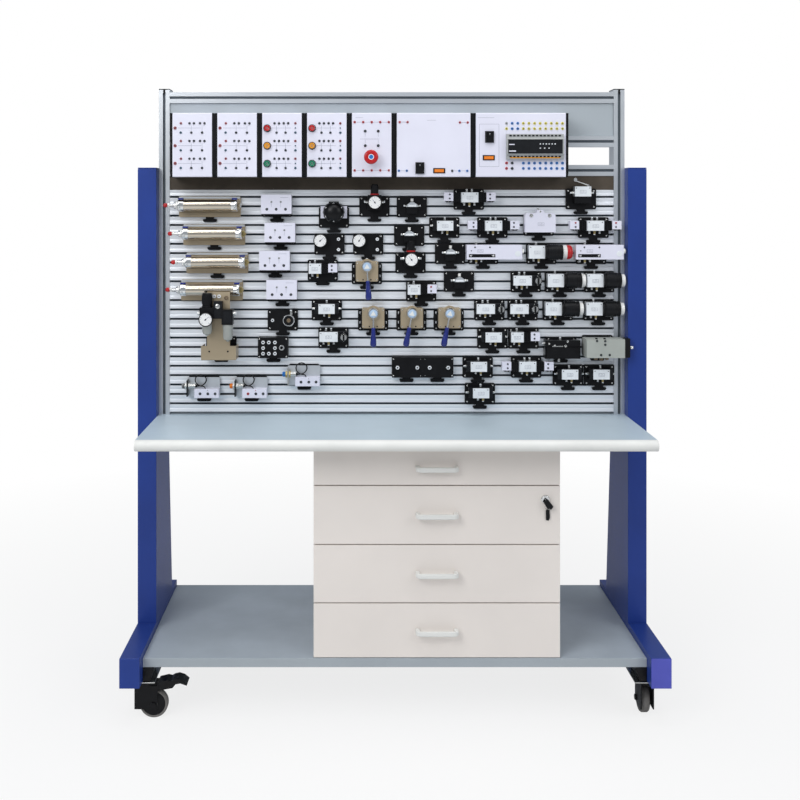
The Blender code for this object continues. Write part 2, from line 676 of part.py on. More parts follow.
def cabinet():
    """Carcass panels with their runners, and the drawers that slide in them."""
    left, right = around(CABINET_OFFSET, CABINET_WIDTH)
    low, high = SHELF_Z + FIT, WORKTOP_Z - FIT
    face = CABINET_Y + FRONT_THICKNESS + FIT
    rear = CABINET_Y + CABINET_DEPTH
    inner = (left + CARCASS_WALL, right - CARCASS_WALL)
    between = (inner[0] - SINK, inner[1] + SINK)
    carcass = Solids()
    carcass.box((left, inner[0]), (face, rear), (low, high))
    carcass.box((inner[1], right), (face, rear), (low, high))
    carcass.box(between, (face, rear), (low, low + CARCASS_WALL))
    carcass.box(between, (face, rear), (high - CARCASS_WALL, high))
    carcass.box(between, (rear - CARCASS_WALL, rear), (low + CARCASS_WALL - SINK, high - CARCASS_WALL + SINK))
    for index, (bottom, top) in enumerate(drawer_levels()):
        tray_low, tray_high = bottom + TRAY_MARGIN, top - TRAY_MARGIN
        middle = (tray_low + tray_high) / 2
        for side_x, step in ((inner[0], 1), (inner[1], -1)):
            edge = side_x - step * SINK
            carcass.box(sorted((edge, side_x + step * RUNNER_THICKNESS)), (face, face + RUNNER_LENGTH),
                        around(middle, RUNNER_HEIGHT))
        drawer(index, bottom, top, inner, tray_low, tray_high)
    make_object("cabinet_carcass", carcass, WARM_WHITE, 0.5)


def drawer(index, bottom, top, inner, tray_low, tray_high):
    """One drawer: front, open tray and bow handle."""
    solids = Solids()
    left, right = around(CABINET_OFFSET, CABINET_WIDTH)
    front = (CABINET_Y, CABINET_Y + FRONT_THICKNESS)
    solids.box((left, right), front, (bottom + FRONT_GAP / 2, top - FRONT_GAP / 2))
    clear = RUNNER_THICKNESS + FIT
    tray_left, tray_right = inner[0] + clear, inner[1] - clear
    near = front[1] - SINK
    far = near + TRAY_DEPTH
    floor = tray_low + TRAY_WALL - SINK
    solids.box((tray_left, tray_right), (near, far), (tray_low, tray_low + TRAY_WALL))
    solids.box((tray_left, tray_left + TRAY_WALL), (near, far), (floor, tray_high))
    solids.box((tray_right - TRAY_WALL, tray_right), (near, far), (floor, tray_high))
    cross = (tray_left + TRAY_WALL - SINK, tray_right - TRAY_WALL + SINK)
    solids.box(cross, (near, near + TRAY_WALL), (floor, tray_high))
    solids.box(cross, (far - TRAY_WALL, far), (floor, tray_high))
    rise = bottom + HANDLE_RISE_SHARES[index] * (top - bottom)
    end, inset = HANDLE_WIDTH / 2, HANDLE_WIDTH / 2 - HANDLE_LEG
    seat, tip = CABINET_Y + SINK, CABINET_Y - HANDLE_REACH
    bow = [(-end, seat), (-end, tip + HANDLE_BAR), (-inset, tip), (inset, tip), (end, tip + HANDLE_BAR),
           (end, seat), (inset, seat), (inset, tip + HANDLE_BAR), (-inset, tip + HANDLE_BAR), (-inset, seat)]
    solids.prism("Z", [(CABINET_OFFSET + x, y) for x, y in bow], around(rise, HANDLE_HEIGHT))
    if index + 1 == LOCK_DRAWER:
        lock_x = left + LOCK_X_SHARE * CABINET_WIDTH
        lock_z = bottom + LOCK_RISE_SHARE * (top - bottom)
        solids.disc("Y", (lock_x, lock_z), LOCK_RADIUS, (CABINET_Y - LOCK_REACH, seat))
        key(lock_x, lock_z)
    make_object(f"drawer_{index + 1}", solids, WARM_WHITE, 0.5)


def key(x, z):
    """The key in the lock, its bow turned a little off upright."""
    pivot = (x, CABINET_Y - LOCK_REACH, z)
    turned = Solids(Matrix.Translation(pivot) @ Matrix.Rotation(KEY_TILT, 4, "Y"))
    shank_end = -FIT - KEY_SHANK
    turned.box(around(0, KEY_THICKNESS), (shank_end, -FIT), around(0, KEY_THICKNESS))
    bow = [(-KEY_BOW_WIDTH / 2, 0), (0, KEY_THICKNESS), (KEY_BOW_WIDTH / 2, 0),
           (KEY_BOW_WIDTH / 2, -KEY_BOW_HEIGHT), (-KEY_BOW_WIDTH / 2, -KEY_BOW_HEIGHT)]
    turned.prism("Y", bow, (shank_end - KEY_THICKNESS, shank_end + SINK))
    make_object("lock_key", turned, BLACK, 0.4, 0, pivot)


def fork_outline(top):
    """Upside-down U of a caster fork, as (across, height) points."""
    inner = WHEEL_WIDTH / 2 + FORK_SIDE_PLAY
    outer = inner + FORK_WALL
    low, under = WHEEL_Z - FORK_LEG_DROP, top - FORK_BRIDGE
    return [(-outer, low), (-inner, low), (-inner, under), (inner, under),
            (inner, low), (outer, low), (outer, top), (-outer, top)]


def fork(solids, top, trail):
    """Fork legs, the axle between them and its bolt heads; +X is the trail."""
    solids.prism("X", fork_outline(top), (-FORK_BEHIND + trail - CASTER_TRAIL, FORK_AHEAD + trail - CASTER_TRAIL))
    inner = WHEEL_WIDTH / 2 + FORK_SIDE_PLAY
    outer = inner + FORK_WALL
    solids.disc("Y", (trail, WHEEL_Z), AXLE_RADIUS, around(0, 2 * (inner + SINK)))
    for side in (-1, 1):
        solids.disc("Y", (trail, WHEEL_Z), BOLT_HEAD_RADIUS,
                    sorted((side * (outer - SINK), side * (outer + BOLT_HEAD))), SMALL_SIDES)


def wheel(name, place, trail):
    """A wheel with its bore round the axle."""
    half, bore = WHEEL_WIDTH / 2, AXLE_RADIUS + AXLE_PLAY
    profile = [(bore, -half), (WHEEL_RADIUS - WHEEL_CHAMFER, -half), (WHEEL_RADIUS, -half + WHEEL_CHAMFER),
               (WHEEL_RADIUS, half - WHEEL_CHAMFER), (WHEEL_RADIUS - WHEEL_CHAMFER, half), (bore, half)]
    solids = Solids(place)
    solids.turned("Y", (trail, WHEEL_Z), profile, WHEEL_SIDES)
    make_object(name, solids, BLACK, 0.5, 0, place @ Vector((trail, 0, WHEEL_Z)))


def pedal(name, place):
    """Brake pedal on two lugs beside the fork."""
    solids = Solids(place)
    outer = WHEEL_WIDTH / 2 + FORK_SIDE_PLAY + FORK_WALL
    lug = outer + 2 * FIT
    start = FORK_AHEAD + 5 * FIT
    pivot_z = WHEEL_Z + PEDAL_PIVOT_RISE
    arm_z = WHEEL_Z + WHEEL_RADIUS + WHEEL_CHAMFER
    outline = [(start + PEDAL_LENGTH * x, arm_z + PEDAL_RISE * z) for x, z in PEDAL_OUTLINE_SHARES]
    solids.prism("Y", outline, around(0, 2 * (lug + PEDAL_WALL)))
    for side in (-1, 1):
        solids.box((PEDAL_PIVOT_AHEAD - PEDAL_LUG_HEIGHT / 2, start + SINK),
                   sorted((side * lug, side * (lug + PEDAL_WALL))), around(pivot_z, PEDAL_LUG_HEIGHT))
    make_object(name, solids, BLACK, 0.5, 0, place @ Vector((PEDAL_PIVOT_AHEAD, 0, pivot_z)))


def casters():
    """Two swivelling casters with brakes in front, two fixed ones behind."""
    headings = {"left": FRONT_LEFT_HEADING, "right": FRONT_RIGHT_HEADING}
    for side, side_name in SIDES:
        x = side * CASTER_X
        place = Matrix.Translation((x, FRONT_CASTER_Y, 0)) @ Matrix.Rotation(headings[side_name], 4, "Z")
        swivel = Solids(place)
        fork_top = CASTER_TOP_Z - SWIVEL_HEIGHT
        fork(swivel, fork_top, CASTER_TRAIL)
        swivel.disc("Z", (0, 0), SWIVEL_RADIUS, (fork_top - SINK, CASTER_TOP_Z))
        make_object(f"caster_fork_front_{side_name}", swivel, BLACK, 0.4, 0.5, (x, FRONT_CASTER_Y, 0))
        wheel(f"caster_wheel_front_{side_name}", place, CASTER_TRAIL)
        pedal(f"brake_pedal_{side_name}", place)
        place = Matrix.Translation((x, REAR_CASTER_Y, 0)) @ Matrix.Rotation(math.pi / 2, 4, "Z")
        fixed = Solids(place)
        fork(fixed, CASTER_TOP_Z, 0)
        make_object(f"caster_fork_rear_{side_name}", fixed, BLACK, 0.4, 0.5, (x, REAR_CASTER_Y, 0))
        wheel(f"caster_wheel_rear_{side_name}", place, 0)


def module_spans():
    """Left and right side of each electric box, from the left."""
    widths = [SMALL_MODULE] * SMALL_MODULES + [POWER_MODULE, CONTROL_MODULE]
    left, spans = -PANEL_HALF + MODULE_INSET, []
    for width in widths:
        spans.append((left, left + width))
        left += width
    return spans


def module_point(index, x_share, rise_share):
    """A place on a box's face as (across, height)."""
    left, right = module_spans()[index]
    return left + x_share * (right - left), MODULE_Z + rise_share * MODULE_HEIGHT


def modules():
    """Seven electric boxes, their black side caps, and the controls on their faces."""
    cases = Solids()
    levels = (MODULE_Z, MODULE_Z + MODULE_HEIGHT)
    depth = (MODULE_Y, PANEL_Y - FIT)
    for left, right in module_spans():
        inner = (left + MODULE_CAP, right - MODULE_CAP)
        cases.box((left - SINK, inner[0] + SINK), depth, levels)
        cases.box(inner, depth, levels)
        cases.box((inner[1] - SINK, right), depth, levels)
    controller_x, controller_z = module_point(SMALL_MODULES + 1, CONTROLLER_X_SHARE, CONTROLLER_RISE_SHARE)
    cases.box(around(controller_x, CONTROLLER_WIDTH), (MODULE_Y - CONTROLLER_REACH, MODULE_SEAT_Y),
              around(controller_z, CONTROLLER_HEIGHT - 2 * TERMINAL_HEIGHT + 2 * SINK))
    for side in (-1, 1):
        row_z = controller_z + side * (CONTROLLER_HEIGHT - TERMINAL_HEIGHT) / 2
        cases.box(around(controller_x, CONTROLLER_WIDTH), (MODULE_Y - TERMINAL_REACH, MODULE_SEAT_Y),
                  around(row_z, TERMINAL_HEIGHT))
    for number, index in enumerate(BUTTON_MODULES):
        for colour, rise in zip(BUTTON_COLOURS, BUTTON_RISE_SHARES):
            push_button(cases, f"push_button_{colour}_{number + 1}", module_point(index, BUTTON_X_SHARE, rise), colour)
    emergency_stop(cases, module_point(STOP_MODULE, STOP_X_SHARE, STOP_RISE_SHARE))
    for number, name in enumerate(ROCKER_SHARES):
        rocker(cases, f"rocker_switch_{name}", module_point(SMALL_MODULES + number, *ROCKER_SHARES[name]))
    make_object("module_cases", cases, PALE, 0.45)


def push_button(cases, name, centre, colour):
    """A round cap that slides in its bezel ring."""
    inner, outer = BUTTON_RADIUS + FIT, BUTTON_RADIUS + BUTTON_BEZEL
    front = MODULE_Y - BEZEL_REACH
    cases.turned("Y", centre, [(inner, MODULE_SEAT_Y), (outer, MODULE_SEAT_Y), (outer, front), (inner, front)])
    cap = Solids()
    seat = MODULE_Y - BUTTON_TRAVEL - FIT
    cap.disc("Y", centre, BUTTON_RADIUS, (MODULE_Y - BUTTON_REACH, seat))
    make_object(name, cap, BUTTON_PAINT[colour], 0.35, 0, (centre[0], seat, centre[1]))


def emergency_stop(cases, centre):
    """A mushroom head whose stem slides in a collar."""
    inner, outer = STOP_STEM + FIT, STOP_STEM + STOP_COLLAR_WALL
    collar_front = MODULE_Y - STOP_COLLAR_REACH
    cases.turned("Y", centre, [(inner, MODULE_SEAT_Y), (outer, MODULE_SEAT_Y),
                               (outer, collar_front), (inner, collar_front)])
    head = Solids()
    stem_end = MODULE_Y - STOP_TRAVEL - FIT
    under = collar_front - STOP_TRAVEL - FIT
    front = under - STOP_HEAD
    head.turned("Y", centre, [(0, stem_end), (STOP_STEM, stem_end), (STOP_STEM, under), (STOP_RADIUS, under),
                              (STOP_RADIUS, (under + front) / 2), (STOP_STEM, front), (0, front)])
    make_object("emergency_stop_head", head, RED, 0.35, 0, (centre[0], stem_end, centre[1]))


def rocker(cases, name, centre):
    """A seesaw switch cap, resting with its lower end pressed, in a frame of four bars."""
    x, z = centre
    side_x, side_z = ROCKER_WIDTH / 2 + FIT, ROCKER_HEIGHT / 2 + 2 * FIT
    depth = (MODULE_Y - ROCKER_FRAME_REACH, MODULE_SEAT_Y)
    for side in (-1, 1):
        cases.box(sorted((x + side * side_x, x + side * (side_x + ROCKER_FRAME))), depth,
                  around(z, 2 * (side_z + ROCKER_FRAME)))
        cases.box(around(x, 2 * (side_x + SINK)), depth, sorted((z + side * side_z, z + side * (side_z + ROCKER_FRAME))))
    pivot = (x, MODULE_Y - ROCKER_REACH / 2, z)
    cap = Solids(Matrix.Translation(pivot) @ Matrix.Rotation(ROCKER_TILT, 4, "X"))
    half = ROCKER_HEIGHT / 2
    back, front = ROCKER_REACH / 2 - FIT, -ROCKER_REACH / 2
    lift = back - half * math.tan(ROCKER_TILT)
    cap.prism("X", [(back, 0), (lift, half), (front, half), (front / 2, 0), (front, -half), (lift, -half)],
              around(0, ROCKER_WIDTH))
    make_object(name, cap, BLACK, 0.4, 0, pivot)


def panel_place(shares):
    """Centre of a clip-on plate as (across, height) from its place on the panel."""
    x_share, row_share = shares
    return -PANEL_HALF + x_share * PANEL_WIDTH, FIRST_SLOT_Z - row_share * SLOT_PITCH + PLATE_HEIGHT / 2


def clip_plate(group, x, z, width, clips):
    """A plate with the T-shaped clips below it that lock into a slot."""
    group.box(around(x, width), (PLATE_Y, PANEL_Y - FIT), around(z, PLATE_HEIGHT))
    top = z - PLATE_HEIGHT / 2 + SINK
    stem, foot = top - CLIP_STEM_HEIGHT, top - CLIP_STEM_HEIGHT - CLIP_FOOT_HEIGHT
    half_stem, half_foot = CLIP_STEM_WIDTH / 2, CLIP_FOOT_WIDTH / 2
    for share in clips:
        middle = x + share * width
        outline = [(-half_stem, top), (-half_stem, stem), (-half_foot, stem), (-half_foot, foot),
                   (half_foot, foot), (half_foot, stem), (half_stem, stem), (half_stem, top)]
        group.prism("Y", [(middle + across, height) for across, height in outline], (PLATE_Y, PANEL_Y - FIT))


def plate(planks, shares, width=PLATE_WIDTH, clips=(0,)):
    """Hook a clip-on plate to the rib behind its middle; returns that rib's plank and the place."""
    x, z = panel_place(shares)
    rib = round((FIRST_SLOT_Z - z) / SLOT_PITCH + 1 / 2)
    plank = planks[rib // PLANK_SLOTS]
    clip_plate(plank, x, z, width, clips)
    plank.box(around(x, CLIP_STEM_WIDTH), (MOUNT_Y, PANEL_Y + SINK), around(sum(rib_ends(rib)) / 2, RIB_WEB))
    return plank, x, z


def label(valves, x, z, width, height, face):
    """Pale cover plate on a valve's face."""
    valves.box(around(x, width), (face - LABEL_THICKNESS, face + SINK), around(z, height))


def fittings(valves, x, z, height, face, above, below):
    """Short ports above and below a valve body."""
    centre_y = face + VALVE_DEPTH / 2
    for count, side in ((above, 1), (below, -1)):
        for i in range(count):
            port_x = x + (i - (count - 1) / 2) * FITTING_PITCH
            start = z + side * (height / 2 - SINK)
            valves.disc("Z", (port_x, centre_y), FITTING_RADIUS, sorted((start, start + side * FITTING_LENGTH)),
                        FITTING_SIDES)


def solenoid_valves(planks):
    """Valves switched by one or two coils, with a connector on each coil."""
    face = MOUNT_Y - VALVE_DEPTH
    plug_y = (face - LABEL_THICKNESS, face - LABEL_THICKNESS + CONNECTOR_DEPTH)
    for shares in DOUBLE_PLACE_SHARES:
        valves, x, z = plate(planks, shares)
        z += VALVE_LIFT
        half = DOUBLE_BODY_WIDTH / 2
        valves.box(around(x, DOUBLE_BODY_WIDTH), (face, MOUNT_Y), around(z, VALVE_HEIGHT))
        label(valves, x, z, LABEL_WIDTH, CONNECTOR_HEIGHT, face)
        for side in (-1, 1):
            ends = sorted((x + side * (half - SINK), x + side * (half + CONNECTOR_WIDTH)))
            valves.box(ends, plug_y, around(z, CONNECTOR_HEIGHT))
        fittings(valves, x, z, VALVE_HEIGHT, face, 2, 3)
    for shares in SINGLE_PLACE_SHARES:
        valves, x, z = plate(planks, shares)
        z += VALVE_LIFT
        left = x - PLATE_WIDTH / 2 + FITTING_RADIUS
        right = left + SINGLE_BODY_WIDTH
        valves.box((left, right), (face, MOUNT_Y), around(z, VALVE_HEIGHT))
        label_x = left + SINGLE_LABEL_WIDTH / 2 + SINK
        label(valves, label_x, z, SINGLE_LABEL_WIDTH, CONNECTOR_HEIGHT, face)
        valves.box((right - SINK, right + CONNECTOR_WIDTH), plug_y, around(z, CONNECTOR_HEIGHT))
        fittings(valves, label_x, z, VALVE_HEIGHT, face, 1, 2)


def pilot_valves(planks):
    """Valves switched by air, with a port at each end."""
    face = MOUNT_Y - VALVE_DEPTH
    for shares in PILOT_PLACE_SHARES:
        valves, x, z = plate(planks, shares)
        z += VALVE_LIFT
        half = PILOT_BODY_WIDTH / 2
        valves.box(around(x, PILOT_BODY_WIDTH), (face, MOUNT_Y), around(z, VALVE_HEIGHT))
        label(valves, x, z, LABEL_WIDTH, CONNECTOR_HEIGHT, face)
        for side in (-1, 1):
            ends = sorted((x + side * (half - SINK), x + side * (half + PILOT_PORT)))
            valves.disc("X", (face + VALVE_DEPTH / 2, z), FITTING_RADIUS, ends, FITTING_SIDES)
        fittings(valves, x, z, VALVE_HEIGHT, face, 1, 2)


def selector_valves(planks):
    """Valves switched by a round knob on the face."""
    face = MOUNT_Y - VALVE_DEPTH
    for number, shares in enumerate(SELECTOR_PLACE_SHARES):
        valves, x, z = plate(planks, shares)
        z += VALVE_LIFT
        valves.box(around(x, SELECTOR_BODY_WIDTH), (face, MOUNT_Y), around(z, VALVE_HEIGHT))
        label(valves, x - SELECTOR_LABEL_SHIFT, z, SELECTOR_LABEL_WIDTH, CONNECTOR_HEIGHT, face)
        fittings(valves, x - SELECTOR_LABEL_SHIFT, z, VALVE_HEIGHT, face, 2, 3)
        knob_x = x + SELECTOR_BODY_WIDTH / 2 - SELECTOR_KNOB_RADIUS
        knob = Solids()
        knob.disc("Y", (knob_x, z), SELECTOR_KNOB_RADIUS, (face - SELECTOR_KNOB_REACH, face - FIT))
        ridge = around(knob_x, SELECTOR_KNOB_RADIUS / 2)
        knob.box(ridge, (face - SELECTOR_KNOB_REACH - LABEL_THICKNESS, face - SELECTOR_KNOB_REACH + SINK),
                 around(z, SELECTOR_RIDGE_SHARE * SELECTOR_KNOB_RADIUS))
        make_object(f"selector_knob_{number + 1}", knob, BLACK, 0.45, 0, (knob_x, face, z))


def push_barrel(valves, x, z):
    """Body, cover and recessed barrel of a push valve; returns the recess floor and barrel end."""
    face = MOUNT_Y - VALVE_DEPTH
    centre = (MOUNT_Y - PUSH_BARREL_RADIUS, z)
    start = x + LABEL_WIDTH / 2
    valves.box(around(x, LABEL_WIDTH), (face, MOUNT_Y), around(z, PUSH_HEIGHT))
    label(valves, x, z, LABEL_WIDTH, PUSH_HEIGHT, face)
    fittings(valves, x, z, PUSH_HEIGHT, face, 1, 2)
    end, inner = start + PUSH_BARREL_LENGTH, PUSH_BARREL_RADIUS - PUSH_WALL
    floor = end - PUSH_RECESS
    profile = [(0, start - SINK), (PUSH_BARREL_RADIUS, start - SINK), (PUSH_BARREL_RADIUS, end),
               (inner, end), (inner, floor), (0, floor)]
    valves.turned("X", centre, profile)
    return centre, floor, end


def push_valves(planks):
    """Valves with a button that slides in a barrel, and one with a mushroom head."""
    cap_radius = PUSH_BARREL_RADIUS - PUSH_WALL - FIT
    for number, shares in enumerate(PUSH_PLACE_SHARES):
        valves, x, z = plate(planks, shares)
        centre, floor, end = push_barrel(valves, x - PUSH_SHIFT, z + VALVE_LIFT)
        seat = floor + PUSH_TRAVEL + FIT
        cap = Solids()
        cap.disc("X", centre, cap_radius, (seat, end + PUSH_CAP_REACH))
        make_object(f"valve_button_{number + 1}", cap, WARM_WHITE, 0.4, 0, (seat, *centre))
    valves, x, z = plate(planks, MUSHROOM_PLACE_SHARES)
    centre, floor, end = push_barrel(valves, x - PUSH_SHIFT, z + VALVE_LIFT)
    seat, neck = floor + PUSH_TRAVEL + FIT, end + PUSH_CAP_REACH
    tip = neck + MUSHROOM_HEAD
    head = Solids()
    head.turned("X", centre, [(0, seat), (cap_radius, seat), (cap_radius, neck), (MUSHROOM_RADIUS, neck),
                              (MUSHROOM_RADIUS, (neck + tip) / 2), (cap_radius / 2, tip), (0, tip)])
    make_object("mushroom_valve_head", head, RED, 0.35, 0, (seat, *centre))


def throttle_valves(planks):
    """Flow control valves: a small block with a screw above and a port at each side."""
    face = MOUNT_Y - VALVE_DEPTH
    axis_y = face + VALVE_DEPTH / 2
    for shares in THROTTLE_PLACE_SHARES:
        valves, x, z = plate(planks, shares)
        half = THROTTLE_WIDTH / 2
        valves.prism("Y", [(x - half, z), (x + half, z), (x + half, z + THROTTLE_HEIGHT / 2),
                           (x + half / 3, z + THROTTLE_HEIGHT), (x - half / 3, z + THROTTLE_HEIGHT),
                           (x - half, z + THROTTLE_HEIGHT / 2)], (face, MOUNT_Y))
        valves.box(around(x, THROTTLE_WIDTH), (MOUNT_Y - THROTTLE_BODY_DEPTH, MOUNT_Y),
                   (z - THROTTLE_BODY_HEIGHT, z + SINK))
        screw_z = z + THROTTLE_HEIGHT - SINK
        valves.disc("Z", (x, axis_y), THROTTLE_SCREW_RADIUS, (screw_z, screw_z + THROTTLE_SCREW_LENGTH), SMALL_SIDES)
        for side in (-1, 1):
            ends = sorted((x + side * (half - SINK), x + side * (half + FITTING_LENGTH)))
            valves.disc("X", (axis_y, z + FITTING_RADIUS), FITTING_RADIUS, ends, FITTING_SIDES)


def roller_valve(planks):
    """A valve pressed by a lever with a roller at its end."""
    valves, x, z = plate(planks, ROLLER_PLACE_SHARES)
    face = MOUNT_Y - VALVE_DEPTH
    top = z + PLATE_HEIGHT / 2 + VALVE_LIFT
    valves.box(around(x, LABEL_WIDTH), (face, MOUNT_Y), (top - VALVE_HEIGHT, top))
    label(valves, x, top - VALVE_HEIGHT / 2, LABEL_WIDTH, CONNECTOR_HEIGHT, face)
    lower = top - VALVE_HEIGHT + SINK
    valves.box(around(x, LABEL_WIDTH), (face, MOUNT_Y), (lower - THROTTLE_BODY_HEIGHT, lower))
    middle_y = face + VALVE_DEPTH / 2
    ear = ROLLER_LEVER_WIDTH / 2 + FIT
    pivot = (x + ROLLER_PIVOT_SHIFT, middle_y, top + ROLLER_PIVOT_RISE)
    for side in (-1, 1):
        valves.box(around(pivot[0], 2 * ROLLER_EAR), sorted((middle_y + side * ear, middle_y + side * (ear + ROLLER_EAR))),
                   (top - SINK, pivot[2] + ROLLER_EAR))
    lever = Solids(Matrix.Translation(pivot))
    reach, rise, thick = ROLLER_LEVER_LENGTH, ROLLER_LEVER_RISE, ROLLER_LEVER_THICKNESS
    lever.prism("Y", [(thick, -thick / 2), (thick, thick), (-reach, rise), (-reach, rise - thick)],
                around(0, ROLLER_LEVER_WIDTH))
    lever.disc("Y", (-reach, rise + ROLLER_RADIUS / 2), ROLLER_RADIUS, around(0, ROLLER_LEVER_WIDTH))
    make_object("roller_lever", lever, WARM_WHITE, 0.4, 0, pivot)


def timer_valves(planks):
    """Long pale delay valves with a setting knob at the right end, and a pale sensor box."""
    for shares, length in zip(TIMER_PLACE_SHARES, TIMER_LENGTHS):
        valves, x, z = plate(planks, shares)
        z += VALVE_LIFT
        start, end = x - TIMER_START, x - TIMER_START + length
        face = MOUNT_Y - TIMER_DEPTH
        valves.box((start, end), (face, MOUNT_Y), around(z, TIMER_HEIGHT))
        valves.disc("X", (face + TIMER_KNOB_RADIUS, z), TIMER_KNOB_RADIUS, (end - SINK, end + TIMER_KNOB_LENGTH))
        fittings(valves, start + LABEL_WIDTH / 2, z, TIMER_HEIGHT, MOUNT_Y - VALVE_DEPTH, 1, 3)
    valves, x, z = plate(planks, SENSOR_BOX_PLACE_SHARES)
    valves.box(around(x, PLATE_WIDTH), (MOUNT_Y - SENSOR_BOX_DEPTH, MOUNT_Y),
               around(z + SENSOR_BOX_LIFT, SENSOR_BOX_HEIGHT))


def lever_valves(planks):
    """Square rotary valves, each turned by a hanging lever with a dark grip."""
    face = MOUNT_Y - LEVER_BODY_DEPTH
    for number, (shares, tilt) in enumerate(zip(LEVER_PLACE_SHARES, LEVER_TILTS)):
        valves, x, z = plate(planks, shares)
        valves.box(around(x, LEVER_BODY_WIDTH), (face, MOUNT_Y), around(z + LEVER_BODY_LIFT, LEVER_BODY_HEIGHT))
        pivot = (x, face - FIT, z + LEVER_HUB_LIFT)
        lever = Solids(Matrix.Translation(pivot) @ Matrix.Rotation(tilt, 4, "Y"))
        lever.disc("Y", (0, 0), LEVER_HUB_RADIUS, (-LEVER_HUB_HEIGHT, 0))
        axis_y = -GRIP_RADIUS
        rod_top, rod_end = -LEVER_HUB_RADIUS / 2, -LEVER_ROD_LENGTH
        lever.disc("Z", (0, axis_y), LEVER_ROD_RADIUS, (rod_end, rod_top), SMALL_SIDES)
        tip = rod_end - GRIP_LENGTH
        belly = tip + GRIP_RADIUS
        lever.turned("Z", (0, axis_y), [(0, rod_end + SINK), (GRIP_NECK, rod_end + SINK), (GRIP_RADIUS, belly),
                                        (GRIP_NECK, (tip + tip + GRIP_NECK) / 2), (0, tip)])
        make_object(f"valve_lever_{number + 1}", lever, DARK_BLUE, 0.3, 0, pivot)


def cylinders(planks):
    """Double-acting cylinders: plate, barrel, end caps, and the rod with its piston inside."""
    for number, shares in enumerate(CYLINDER_PLACE_SHARES):
        barrels, x, z = plate(planks, shares, CYLINDER_PLATE_WIDTH)
        axis = (PANEL_Y - CYLINDER_AXIS_REACH, z + CYLINDER_AXIS_LIFT)
        left, right = around(x, BARREL_LENGTH)
        inner = BARREL_RADIUS - BARREL_WALL
        bore = ROD_RADIUS + ROD_PLAY
        barrels.turned("X", axis, [(inner, left), (BARREL_RADIUS, left), (BARREL_RADIUS, right), (inner, right)])
        cap_left, cap_right = left + SINK, right - SINK
        nose = left - END_CAP_LENGTH
        mouth = nose - NOSE_LENGTH
        barrels.turned("X", axis, [(bore, cap_left), (END_CAP_RADIUS, cap_left), (END_CAP_RADIUS, nose),
                                   (NOSE_RADIUS, nose), (NOSE_RADIUS, mouth), (bore, mouth)])
        barrels.disc("X", axis, END_CAP_RADIUS, (cap_right, right + END_CAP_LENGTH))
        barrels.disc("X", axis, NOSE_RADIUS, (cap_right + END_CAP_LENGTH, right + END_CAP_LENGTH + NOSE_LENGTH))
        for middle in (nose + END_CAP_LENGTH / 2, cap_right + END_CAP_LENGTH / 2):
            barrels.box(around(middle, SADDLE_WIDTH), (axis[0] + BARREL_RADIUS, MOUNT_Y), around(axis[1], SADDLE_HEIGHT))
        rod = Solids()
        rest, tip = mouth - ROD_REST_REACH, mouth - ROD_REST_REACH - ROD_TIP_LENGTH
        back = cap_right - FIT
        piston = back - PISTON_LENGTH
        rod.turned("X", axis, [(0, tip), (ROD_TIP_RADIUS / 2, tip), (ROD_TIP_RADIUS, (tip + rest) / 2),
                               (ROD_TIP_RADIUS / 2, rest), (ROD_RADIUS, rest), (ROD_RADIUS, piston),
                               (inner - ROD_PLAY, piston), (inner - ROD_PLAY, back), (0, back)])
        make_object(f"cylinder_rod_{number + 1}", rod, STEEL, 0.25, 0.9, (rest, *axis))


def gauge(group, x, z, back):
    """A round gauge on its stem."""
    group.disc("Y", (x, z), GAUGE_RADIUS, (back - GAUGE_DEPTH, back + SINK), GAUGE_SIDES)


def regulators(planks):
    """Gauges, regulators with their knobs, and the filter and lubricator set."""
    for shares in GAUGE_PLACE_SHARES:
        group, x, z = plate(planks, shares)
        gauge_x = x + (GAUGE_X_SHARE - 0.5) * PLATE_WIDTH
        gauge_z = z + (GAUGE_RISE_SHARE - 0.5) * PLATE_HEIGHT
        gauge(group, gauge_x, gauge_z, MOUNT_Y)
        for rise in (-1, 1):
            group.disc("Y", (x - (GAUGE_X_SHARE - 0.5) * PLATE_WIDTH, z + rise * PLATE_HEIGHT / 4), PORT_RADIUS,
                       (MOUNT_Y - PORT_REACH, MOUNT_Y), SMALL_SIDES)
    for number, shares in enumerate(REGULATOR_PLACE_SHARES):
        group, x, z = plate(planks, shares)
        regulator(group, x, z + REGULATOR_LIFT, f"regulator_knob_{number + 1}")
    dome_regulator(planks)


def regulator(group, x, z, name):
    """A regulator body with its gauge in front and its knob above a coloured ring."""
    body_y = (MOUNT_Y - REGULATOR_DEPTH, MOUNT_Y)
    group.box(around(x, REGULATOR_WIDTH), body_y, around(z, REGULATOR_HEIGHT))
    gauge(group, x, z, body_y[0])
    axis = (x, MOUNT_Y - REGULATOR_STEM_REACH)
    ring_z = z + REGULATOR_HEIGHT / 2
    ring_top = ring_z + REGULATOR_RING_HEIGHT
    group.disc("Z", axis, REGULATOR_RING_RADIUS, (ring_z - SINK, ring_top))
    knob = Solids()
    knob.disc("Z", axis, REGULATOR_KNOB_RADIUS, (ring_top + FIT, ring_top + REGULATOR_KNOB_HEIGHT))
    make_object(name, knob, BLACK, 0.45, 0, (*axis, ring_top))


